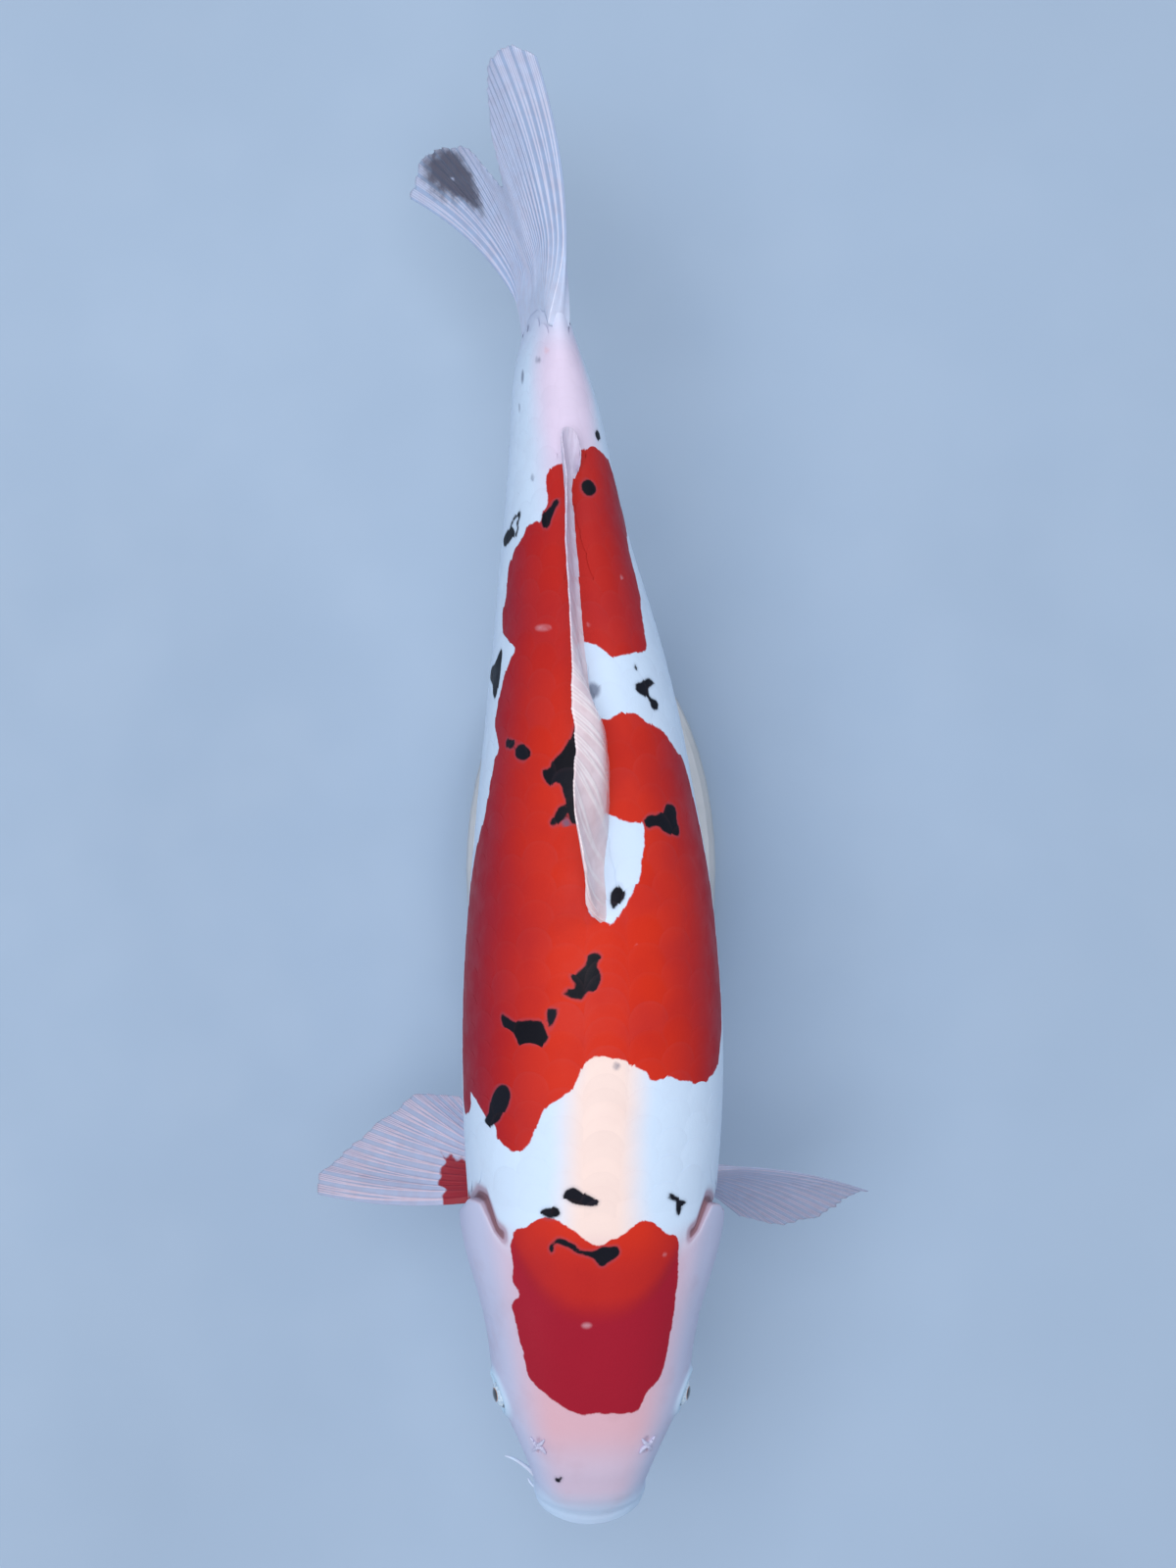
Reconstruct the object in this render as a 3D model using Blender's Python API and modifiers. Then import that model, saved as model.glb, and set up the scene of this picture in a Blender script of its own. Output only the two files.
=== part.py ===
"""A life-size koi carp (Taisho Sanke) held in its swimming pose by a plain display stand.

Units are metres, +Z is up and the head points to -Y. The origin is the centre of the stand's
underside. The fish is first shaped straight, in millimetres of a 593 mm fish: x to its left,
y back from 3 mm behind its lips, z up from its axis. pose() then bends, rolls and places it.
"""

import math

import bmesh
import bpy
import numpy as np

# Driving dimensions
LENGTH = 0.593  # snout to the tip of the tail fin
MM = LENGTH / 593  # one unit of the tables below
AXIS_HEIGHT = 0.178  # of the fish's axis over the floor
STAND_STATION = 262  # y of the fish over the middle of the stand
GAP = 0.3  # clearance between neighbouring solids

# Cross-sections from the mouth to the root of the tail fin. Each is a closed oval between a point
# on the back's outline and one on the belly's: y and z of the back, y and z of the belly,
# half-width, height of the widest place (0 belly, 1 back), squareness of the upper and lower half,
# and how far the ring's sides lie behind its middle.
SECTIONS = np.array(
    [
        (10.5, -14.2, 10.5, -15.4, 8.0, 0.50, 2.0, 2.0, 1.5),  # end of the mouth's pocket
        (2.4, -12.8, 4.0, -16.6, 11.8, 0.50, 2.0, 2.0, 2.6),
        (-1.5, -12.0, 1.3, -17.6, 14.0, 0.50, 2.0, 2.0, 3.4),  # inner edge of the lips
        (-3.0, -9.4, 0.4, -21.0, 17.9, 0.50, 2.1, 2.1, 4.4),  # fullest part of the lips
        (-1.0, -6.2, 3.6, -24.6, 21.8, 0.50, 2.1, 2.1, 5.0),
        (2.0, -3.4, 7.2, -25.2, 22.6, 0.50, 2.2, 2.1, 4.8),  # groove behind the lips
        (4.2, -0.6, 11.2, -27.5, 23.1, 0.50, 2.3, 2.1, 3.6),
        (9.0, 5.5, 19.0, -30.5, 23.4, 0.49, 2.4, 2.1, 2.0),
        (20.0, 14.5, 31.0, -35.0, 26.6, 0.48, 2.5, 2.1, 0.6),
        (34.0, 22.5, 44.0, -39.5, 31.6, 0.47, 2.6, 2.2, 0.0),
        (52.0, 31.0, 60.0, -44.5, 37.9, 0.47, 2.6, 2.3, 0.0),  # through the eyes
        (72.0, 39.5, 78.0, -49.5, 42.2, 0.48, 2.5, 2.4, 0.0),
        (95.0, 48.0, 99.0, -54.5, 46.2, 0.50, 2.4, 2.4, 0.0),
        (120.0, 55.5, 122.0, -59.5, 49.4, 0.52, 2.3, 2.4, 0.0),  # nape
        (150.0, 61.5, 150.0, -64.0, 51.3, 0.53, 2.3, 2.4, 0.0),
        (190.0, 66.5, 190.0, -68.5, 52.9, 0.54, 2.3, 2.4, 0.0),
        (240.0, 68.5, 240.0, -70.0, 50.6, 0.54, 2.3, 2.4, 0.0),
        (290.0, 65.5, 290.0, -68.0, 44.8, 0.53, 2.2, 2.3, 0.0),
        (340.0, 57.5, 340.0, -61.0, 38.0, 0.52, 2.1, 2.2, 0.0),
        (390.0, 46.5, 390.0, -49.5, 28.3, 0.51, 2.0, 2.1, 0.0),
        (430.0, 37.5, 430.0, -38.5, 21.0, 0.50, 2.0, 2.0, 0.0),
        (463.0, 31.5, 463.0, -31.5, 16.2, 0.50, 2.0, 2.0, 0.0),
        (485.0, 30.0, 485.0, -30.0, 9.6, 0.50, 2.0, 2.0, 0.0),
        (500.0, 31.0, 500.0, -31.0, 4.6, 0.50, 2.0, 2.0, 0.0),  # root of the tail fin
    ]
)

# Stations of the gill opening by place round the body, from 0 on the back to 1 on the belly
GILL_LINE = [
    (0, 122), (0.19, 122.5), (0.24, 126.5), (0.3, 136), (0.36, 137), (0.43, 133), (0.5, 130),
    (0.6, 126.5), (0.72, 118), (0.85, 99), (1, 76),
]  # fmt: skip
GILL_COVER = dict(front=86, top=0.30, bottom=0.80, thick=4.0)  # the bony plate on each cheek
GILL_FLARE = 4.4  # how far the cover's rear edge stands out
WARP_FROM = 44  # behind this station the head's rings lean towards the gill line

# The pose: sideways bend of the axis and roll of the body (degrees, back towards +X) by station
BEND = [
    (0, -0.4), (35, -0.2), (80, -0.1), (150, -0.1), (240, -0.8), (300, -2.6), (345, -4.8), (400, -10.3),
    (450, -14.5), (500, -19), (600, -21),
]
ROLL = [(0, 2), (120, 3), (245, 5.6), (335, 3.4), (395, 4.8), (440, 9), (500, 11), (600, 12)]

TRUNK_PARTING = 246  # where the dorsal fin starts
TAIL_PARTING = 404  # the vent

# Fins. Each is a fan of guide rays: place along the base (0 to 1), root, tip and the offset of the
# ray's middle from a straight line. side mirrors none of them: the two pectorals differ.
DORSAL = [
    (0.00, (1, 248, 62), (-9, 258, 80), (-1, -1, 2)),
    (0.05, (0, 254, 62), (-10, 280, 98), (-2.5, -3, 4)),
    (0.12, (0, 265, 61), (-11.2, 296, 97), (-2, -2, 3)),
    (0.24, (0, 286, 60), (-9.2, 316, 90), (6.5, -2, 2)),
    (0.36, (-1, 306, 58), (-8.8, 333, 83), (9, -1, 1)),
    (0.46, (-1, 324, 55), (-7.5, 348, 77.5), (4, 0, 1)),
    (0.56, (-1, 342, 52), (-6.5, 363, 72.5), (0.5, 0, 1)),
    (0.76, (0, 380, 44), (-5, 399, 60.5), (-1, 0, 1)),
    (0.88, (0, 403, 39), (-4.5, 422, 55), (-1, 0, 0)),
    (0.93, (0, 412, 37), (-5.6, 437, 50), (-1, 0, 0)),
    (0.96, (0, 419, 36), (-3.0, 443, 47), (-1, 0, 0)),
    (0.985, (0, 424, 35), (2.2, 434, 43), (1, 0, 1)),  # the last rays lie over to the left
    (1.00, (0, 427, 34), (1.6, 426, 40), (1, 0, 1)),
]
TAIL_UPPER = [
    (0.00, (0, 484, 28), (-14, 586, 60), (8, 0, -2)),
    (0.12, (0, 490, 26), (-22, 590, 54), (7, 0, -2)),
    (0.35, (0, 493, 20), (-28, 586, 40), (5, 0, -1)),
    (0.70, (0, 495, 10), (-25, 571, 19), (3, 0, 0)),
    (1.00, (0, 496, 1), (-17, 548, -2), (1, 0, 0)),
]
TAIL_LOWER = [
    (0.00, (0, 496, -1), (-17, 547, -4), (1, 0, 0)),
    (0.20, (0, 496, -7), (-21, 560, -20), (2, 0, 1)),
    (0.45, (0, 495, -14), (-28, 572, -38), (3, 1, 2)),
    (0.70, (0, 493, -21), (-37, 574, -57), (5, 2, 4)),
    (0.88, (0, 490, -26), (-42, 567, -68), (7, 3, 6)),
    (1.00, (0, 485, -29), (-45, 557, -73), (8, 3, 7)),
]
ANAL = [
    (0.00, (0, 398, -42), (0, 416, -72), (0, -2, -1)),
    (0.12, (0, 401, -42), (0, 431, -86), (0, -4, -1)),
    (0.35, (0, 409, -40), (-1, 444, -82), (0, -3, -1)),
    (0.70, (0, 419, -37), (-1, 449, -68), (0, -2, -1)),
    (1.00, (0, 428, -34), (0, 448, -54), (0, -1, 0)),
]
PELVIC_LEFT = [
    (0.00, (19, 249, -61), (33, 284, -86), (2, -2, -2)),
    (0.20, (18, 252, -62), (34, 295, -92), (2, -2, -3)),
    (0.50, (15, 256, -63), (26, 301, -97), (1, -1, -3)),
    (0.80, (12, 260, -64), (15, 296, -95), (0, -1, -2)),
    (1.00, (9, 262, -64), (8, 286, -87), (0, 0, -1)),
]
PECTORAL_RIGHT = [  # spread almost level, its fan opening backwards
    (0.00, (-41, 129, -27), (-116, 126, -66), (0, -3, 5)),
    (0.07, (-41, 131, -29), (-116, 131, -67), (0, -2, 5)),
    (0.22, (-41, 134, -31), (-109, 139, -67), (0, -2, 4)),
    (0.42, (-41, 139, -35), (-97, 149, -66), (0, -1, 4)),
    (0.62, (-41, 144, -39), (-83, 160, -64), (0, 0, 3)),
    (0.82, (-40, 149, -43), (-66, 170, -61), (0, 0, 2)),
    (1.00, (-39, 152, -47), (-52, 169, -56), (0, 0, 1)),
]
PECTORAL_LEFT = [  # turned on edge, its hind rays swept down and forward
    (0.00, (41, 142, -22), (122, 129, -38), (0, 5, 4)),
    (0.20, (41, 141, -26), (115, 125, -50), (0, 4, 4)),
    (0.40, (41, 140, -31), (109, 118, -64), (0, 4, 3)),
    (0.60, (41, 139, -36), (100, 112, -75), (0, 3, 2)),
    (0.80, (40, 138, -41), (87, 108, -82), (0, 2, 1)),
    (1.00, (39, 137, -45), (70, 112, -81), (0, 1, 0)),
]

EYE = dict(x=32.8, y=56, z=5, radius=7.6)
MOUTH_LINE = [(-8, -11.4), (4, -14.4), (30, -27.0), (58, -38.0)]  # y and z of the lower jaw's upper edge
BARBELS = {  # root, bend and tip, root radius
    "barbel_corner_right": ((-17.5, 9, -20), (-26.5, 19, -31), (-35.6, 19.6, -35), 1.3),
    "barbel_corner_left": ((17.5, 11, -21), (23.5, 18, -33), (22, 33, -44), 1.3),
    "barbel_lip_right": ((-19, 8.5, -18), (-23.5, 10.5, -20), (-25.8, 13.8, -21), 0.9),
    "barbel_lip_left": ((17, 5.5, -16), (21, 6.5, -23), (21, 10, -29), 0.9),
}
STAND = dict(half_length=0.112, half_width=0.059, thick=0.014, edge=0.003)
STAND.update(rod=0.005, collar=0.011, collar_height=0.008)
ROD_STATIONS = {"front": 196, "rear": 328}

RING_POINTS = 32  # round the body
DENSE = 241  # points on half a ring before it is spaced out evenly


def smooth_curve(knots):
    """A smooth function through (x, y) knots that doesn't overshoot, level beyond its ends."""
    x, y = np.array(knots, float).T
    step, slope = np.diff(x), np.diff(y) / np.diff(x)
    before, after = slope[:-1], slope[1:]
    inner = np.where(before * after > 0, 2 * before * after / (before + after + 1e-12), 0)
    tangent = np.concatenate([[slope[0]], inner, [slope[-1]]])

    def value(at):
        at = np.clip(np.asarray(at, float), x[0], x[-1])
        i = np.clip(np.searchsorted(x, at) - 1, 0, len(step) - 1)
        t = (at - x[i]) / step[i]
        start, end = y[i] + tangent[i] * step[i] * t, y[i + 1] + tangent[i + 1] * step[i] * (t - 1)
        return start + (end - start) * t * t * (3 - 2 * t)

    return value


columns = [smooth_curve(list(enumerate(column))) for column in SECTIONS.T]
gill_line = smooth_curve(GILL_LINE)
bend = smooth_curve(BEND)
roll = smooth_curve(ROLL)
FINE_ROWS = np.linspace(0, len(SECTIONS) - 1, 2001)
fine_stations = columns[2](FINE_ROWS) + (columns[0](FINE_ROWS) - columns[2](FINE_ROWS)) * columns[5](FINE_ROWS)
fine_stations += columns[8](FINE_ROWS)
LIP_ROW = 3  # stations rise steadily from here on


def row_at(station):
    """The row of SECTIONS, as a decimal, whose widest place is at this station."""
    past = FINE_ROWS >= LIP_ROW
    return np.interp(station, fine_stations[past], FINE_ROWS[past])


def ramp(value, start, end):
    """0 before start, 1 after end, smooth between."""
    t = np.clip((value - start) / (end - start), 0, 1)
    return t * t * (3 - 2 * t)


def half_ring(row):
    """Where a ring's evenly spaced places 0 (back) to 1 (belly) lie, as a table of angles."""
    angle = np.linspace(0, math.pi, DENSE)
    points = oval(np.full(DENSE, row), angle)
    run = np.concatenate([[0], np.cumsum(np.linalg.norm(np.diff(points, axis=0), axis=1))])
    return run / run[-1], angle


def oval(row, angle):
    """Points of the sections' ovals at these rows and angles from the back."""
    y_back, z_back, y_belly, z_belly, width, widest, upper, lower, bow = (column(row) for column in columns)
    square = np.where(np.cos(angle) > 0, upper, lower)
    across = np.sign(np.sin(angle)) * np.abs(np.sin(angle)) ** (2 / square)
    up = np.sign(np.cos(angle)) * np.abs(np.cos(angle)) ** (2 / square)
    share = np.where(up > 0, widest + (1 - widest) * up, widest * (1 + up))
    y = y_belly + (y_back - y_belly) * share + bow * across**2
    return np.stack([width * across, y, z_belly + (z_back - z_belly) * share], -1)


def body_point(station, place, row=None):
    """A point of the body's surface. place runs from 0 on the back to 1 on the belly, + to the left."""
    row = float(row_at(station)) if row is None else row
    places, angles = half_ring(row)
    angle = math.copysign(np.interp(abs(place), places, angles), place)
    return oval(np.array(row), np.array(angle))


def flare(station, place):
    """How far the gill cover stands out of the body's line here."""
    place = abs(place)
    window = ramp(place, 0.17, 0.36) * (1 - ramp(place, 0.62, 0.86))
    return GILL_FLARE * window * ramp(station, 84, 84 + 0.98 * (gill_line(place) - 84))


def ring(station_of, outwards=lambda place: 0.0, row=None):
    """One ring of the body: station_of(place) gives its station, outwards(place) an offset in mm."""
    places = (np.arange(RING_POINTS) / RING_POINTS * 2 + 1) % 2 - 1
    points = []
    for place in places:
        station = None if station_of is None else float(station_of(abs(place)))
        point = body_point(station, place, row)
        if outwards(place):
            near = [body_point(station, place + step) for step in (-0.01, 0.01)]
            along = body_point(station + 1, place) - point
            normal = np.cross(near[1] - near[0], along)
            normal /= np.linalg.norm(normal)
            point = point + normal * math.copysign(outwards(place), normal @ (point - [0, point[1], 0]))
        points.append(point)
    return np.array(points)


def pose(points):
    """Rolls and bends straight-fish points in millimetres and places them over the stand, in metres."""
    points = np.asarray(points, float)
    x, y, z = points[..., 0], points[..., 1], points[..., 2]
    turn = np.radians(roll(y))
    across, up = x * np.cos(turn) + z * np.sin(turn), z * np.cos(turn) - x * np.sin(turn)
    return np.stack([(across + bend(y)) * MM, (y - STAND_STATION) * MM, up * MM + AXIS_HEIGHT], -1)


def material(name, colour, roughness, metallic=0.0):
    made = bpy.data.materials.new(name)
    made.use_nodes = True
    shader = made.node_tree.nodes["Principled BSDF"]
    shader.inputs["Base Color"].default_value = (*colour, 1)
    shader.inputs["Roughness"].default_value = roughness
    shader.inputs["Metallic"].default_value = metallic
    return made


def mesh_object(name, vertices, faces, finish, collection, closed=True):
    """A mesh from posed points, its faces turned outwards if it is closed."""
    mesh = bpy.data.meshes.new(name)
    mesh.from_pydata([tuple(v) for v in vertices], [], faces)
    work = bmesh.new()
    work.from_mesh(mesh)
    bmesh.ops.remove_doubles(work, verts=work.verts, dist=1e-6)
    bmesh.ops.recalc_face_normals(work, faces=work.faces)
    if closed and work.calc_volume(signed=True) < 0:
        bmesh.ops.reverse_faces(work, faces=work.faces)
    work.to_mesh(mesh)
    work.free()
    mesh.shade_smooth()
    mesh.set_sharp_from_angle(angle=math.radians(40))
    made = bpy.data.objects.new(name, mesh)
    if finish:
        mesh.materials.append(finish)
    collection.objects.link(made)
    return made


def loft(name, rings, finish, collection):
    """A closed solid through rings of equal count, with a fan over each end."""
    count = len(rings[0])
    vertices = np.array([*np.concatenate(rings), rings[0].mean(0), rings[-1].mean(0)])
    faces = []
    for i in range(len(rings) - 1):
        for j in range(count):
            corners = [i * count + j, i * count + (j + 1) % count]
            corners += [corners[1] + count, corners[0] + count]
            first, second = (np.linalg.norm(vertices[corners[k]] - vertices[corners[k + 2]]) for k in (0, 1))
            if second < first:  # each quad is split along its shorter diagonal, so facing ends match
                corners = corners[1:] + corners[:1]
            faces += [tuple(corners[:3]), (corners[2], corners[3], corners[0])]
    last = (len(rings) - 1) * count
    for j in range(count):
        faces.append(((j + 1) % count, j, len(vertices) - 2))
        faces.append((last + j, last + (j + 1) % count, len(vertices) - 1))
    return mesh_object(name, pose(vertices), faces, finish, collection)


def inner_rings(edge):
    """Rings that close the curved end at the gill line, from its edge inwards."""
    middle = np.array([0, edge[:, 1].min() + 10, edge[:, 2].mean()])
    rings = []
    for share, lean in ((0.85, 1.0), (0.6, 0.6), (0.3, 0.2)):
        inner = middle + (edge - middle) * share
        inner[:, 1] = middle[1] + (edge[:, 1] - middle[1]) * lean
        rings.append(inner)
    return rings


def head_rings():
    """From the mouth's pocket over the lips and face to the gill line."""
    rows = [0, 1, 2, 3, 4, 5, 6, 7, 8]
    rings = [ring(None, row=float(row)) for row in rows]
    rings.append(ring(lambda place: WARP_FROM - 8))
    for share in np.linspace(0, 1, 8):

        def station_of(place, share=share):
            return WARP_FROM + (gill_line(place) - WARP_FROM) * share

        rings.append(ring(station_of, lambda place, f=station_of: flare(f(abs(place)), place)))
    return rings


def trunk_rings(start, end, count):
    """Rings between two stations, the first of which may be the gill line."""
    rings = []
    for share in np.linspace(0, 1, count):

        def station_of(place, share=share):
            first = gill_line(place) + GAP if start is None else start
            return first + (end - first) * share

        rings.append(ring(station_of))
    return rings


def gill_cover(name, side, grown, finish, collection):
    """A curved plate in the cheek's surface. grown makes it the larger cutter of its own recess."""
    spec, rows, cols = GILL_COVER, 7, 9
    proud = 1.5 if grown else 0.0
    reach = GAP if grown else 0.0
    middle = (spec["top"] + spec["bottom"]) / 2
    half = (spec["bottom"] - spec["top"]) / 2 + reach / 170
    points = []
    for i in range(rows):
        for j in range(cols):
            across = 2 * j / (cols - 1) - 1
            place = middle + half * across
            edge = float(gill_line(place))
            front, rear = spec["front"] - reach + 2.5 * across**2, edge + (2.0 if grown else -1.5)
            station = front + (rear - front) * i / (rows - 1)
            points.append(ring_point(station, side * place, flare(min(station, edge), place) + proud))
    made = mesh_object(name, pose(points), grid_faces(rows, cols), finish, collection, closed=False)
    outwards = made.data.vertices[0].normal.x * side
    shell(made, spec["thick"] + proud + reach, math.copysign(1, -outwards))
    return made


def ring_point(station, place, outwards):
    """A body point moved outwards along the surface's normal."""
    point = body_point(station, place)
    around = body_point(station, place + 0.01) - body_point(station, place - 0.01)
    along = body_point(station + 0.5, place) - body_point(station - 0.5, place)
    normal = np.cross(around, along)
    normal /= np.linalg.norm(normal)
    if normal @ (point - np.array([0, point[1], 0])) < 0:
        normal = -normal
    return point + normal * outwards


def grid_faces(rows, cols):
    """Quads of an open surface whose vertices are rows of cols points."""
    starts = [i * cols + j for i in range(rows - 1) for j in range(cols - 1)]
    return [(a, a + 1, a + cols + 1, a + cols) for a in starts]


def shell(made, thick, offset):
    """Gives an open surface its thickness in mm. The vertex group 'thickness' scales it, if there is one."""
    solidify = made.modifiers.new("thickness", "SOLIDIFY")
    solidify.thickness = thick * MM
    solidify.offset = offset
    if "thickness" in made.vertex_groups:
        solidify.vertex_group = "thickness"


def fin(name, guides, thick, finish, collection, along=9, across=13):
    """A fan through guide rays, thick[0] mm thick at the root and thick[1] at its edge."""
    places = [guide[0] for guide in guides]
    numbers = np.array([[*root, *tip, *bow] for _, root, tip, bow in guides], float)
    curves = [smooth_curve(list(zip(places, column))) for column in numbers.T]
    spread = np.stack([curve(np.linspace(0, 1, across)) for curve in curves], -1)
    root, tip, bow = spread[:, :3], spread[:, 3:6], spread[:, 6:]
    run = np.linspace(0, 1, along)[:, None, None]
    middle = root + (tip - root) * run + bow * 4 * run * (1 - run)
    grid = grid_faces(along, across)
    made = mesh_object(name, pose(middle.reshape(-1, 3)), grid, finish, collection, closed=False)
    group = made.vertex_groups.new(name="thickness")
    for vertex in made.data.vertices:
        share = math.sqrt(run[vertex.index // across, 0, 0])
        group.add([vertex.index], 1 + (thick[1] / thick[0] - 1) * share, "REPLACE")
    shell(made, thick[0], 0)
    return made


def cut(target, cutter, operation="DIFFERENCE"):
    """Applies a Boolean now, so that the cutter can be changed or reused."""
    modifier = target.modifiers.new(operation.lower(), "BOOLEAN")
    modifier.operation = operation
    modifier.object = cutter
    bpy.context.view_layer.update()
    evaluated = target.evaluated_get(bpy.context.evaluated_depsgraph_get())
    mesh = bpy.data.meshes.new_from_object(evaluated)
    target.modifiers.clear()
    target.data = mesh
    keep_largest(mesh)


def keep_largest(mesh):
    """Drops slivers a cut left apart from the main body."""
    work = bmesh.new()
    work.from_mesh(mesh)
    bmesh.ops.remove_doubles(work, verts=work.verts, dist=1e-6)
    left, bodies = set(work.verts), []
    while left:
        body, edge = set(), [next(iter(left))]
        while edge:
            vertex = edge.pop()
            if vertex not in body:
                body.add(vertex)
                edge += [link.other_vert(vertex) for link in vertex.link_edges]
        left -= body
        bodies.append(body)
    bodies.sort(key=len)
    bmesh.ops.delete(work, geom=[vertex for body in bodies[:-1] for vertex in body], context="VERTS")
    work.to_mesh(mesh)
    work.free()


def helper(made):
    """Marks an object as a cutter, which isn't part of the model."""
    made.hide_render = True
    made.display_type = "WIRE"
    return made


def jaw_block(name, grow, collection):
    """A prism across the head below the mouth's line, made larger by grow."""
    outline = [(y, z + grow) for y, z in MOUTH_LINE]
    outline[-1] = (outline[-1][0] + grow, outline[-1][1])
    outline += [(outline[-1][0], -70), (outline[0][0], -70)]
    vertices = [(x, y, z) for x in (-60, 60) for y, z in outline]
    count = len(outline)
    faces = [tuple(range(count)), tuple(range(2 * count - 1, count - 1, -1))]
    faces += [(i, (i + 1) % count, count + (i + 1) % count, count + i) for i in range(count)]
    return helper(mesh_object(name, pose(vertices), faces, None, collection))


def ball(name, centre, radius, finish, collection, segments=16, rings=8):
    work = bmesh.new()
    bmesh.ops.create_uvsphere(work, u_segments=segments, v_segments=rings, radius=radius * MM)
    mesh = bpy.data.meshes.new(name)
    work.to_mesh(mesh)
    work.free()
    mesh.shade_smooth()
    made = bpy.data.objects.new(name, mesh)
    made.location = pose(centre)
    if finish:
        mesh.materials.append(finish)
    collection.objects.link(made)
    return made


def barbel(name, spec, finish, collection):
    """A tapering feeler along a smooth bend."""
    root, middle, tip, radius = spec
    run = np.linspace(0, 1, 9)[:, None]
    line = np.array(root) * (1 - run) ** 2 + 2 * np.array(middle) * run * (1 - run) + np.array(tip) * run**2
    data = bpy.data.curves.new(name, "CURVE")
    data.dimensions = "3D"
    data.bevel_depth = radius * MM
    data.bevel_resolution = 2
    data.use_fill_caps = True
    spline = data.splines.new("POLY")
    spline.points.add(len(line) - 1)
    for point, place, share in zip(spline.points, pose(line), run[:, 0]):
        point.co = (*place, 1)
        point.radius = 1 - 0.55 * share
    curve = bpy.data.objects.new(name + "_curve", data)
    collection.objects.link(curve)
    bpy.context.view_layer.update()
    mesh = bpy.data.meshes.new_from_object(curve.evaluated_get(bpy.context.evaluated_depsgraph_get()))
    bpy.data.objects.remove(curve)
    work = bmesh.new()
    work.from_mesh(mesh)
    bmesh.ops.remove_doubles(work, verts=work.verts, dist=1e-6)
    bmesh.ops.recalc_face_normals(work, faces=work.faces)
    work.to_mesh(mesh)
    work.free()
    made = bpy.data.objects.new(name, mesh)
    mesh.materials.clear()
    mesh.materials.append(finish)
    collection.objects.link(made)
    return made


def cylinder(name, radius, bottom, top, x, y, finish, collection, segments=24):
    work = bmesh.new()
    sizes = dict(radius1=radius, radius2=radius, depth=top - bottom)
    bmesh.ops.create_cone(work, cap_ends=True, segments=segments, **sizes)
    mesh = bpy.data.meshes.new(name)
    work.to_mesh(mesh)
    work.free()
    mesh.shade_smooth()
    mesh.set_sharp_from_angle(angle=math.radians(40))
    mesh.materials.append(finish)
    made = bpy.data.objects.new(name, mesh)
    made.location = (x, y, (bottom + top) / 2)
    collection.objects.link(made)
    return made


def stand(finish, steel, body, collection):
    """An oval base with two rods, each in a collar, up to the belly."""
    base = cylinder("stand_base", 1.0, 0.0, STAND["thick"], 0, 0, finish, collection, segments=48)
    width, length = STAND["half_width"], STAND["half_length"]
    base.data.transform(((width, 0, 0, 0), (0, length, 0, 0), (0, 0, 1, 0), (0, 0, 0, 1)))
    bevel = base.modifiers.new("edge", "BEVEL")
    bevel.width = STAND["edge"]
    bevel.segments = 2
    for name, station in ROD_STATIONS.items():
        x, y = bend(station) * MM, (station - STAND_STATION) * MM
        floor = STAND["thick"] + GAP * MM
        collar = cylinder(
            f"stand_collar_{name}", STAND["collar"], floor, floor + STAND["collar_height"],
            x, y, steel, collection
        )
        edge = collar.modifiers.new("edge", "BEVEL")
        edge.width = STAND["edge"] / 2
        edge.segments = 1
        foot = floor + STAND["collar_height"] + GAP * MM
        rod = cylinder(f"stand_rod_{name}", STAND["rod"], foot, AXIS_HEIGHT, x, y, steel, collection)
        cut(rod, body)


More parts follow.
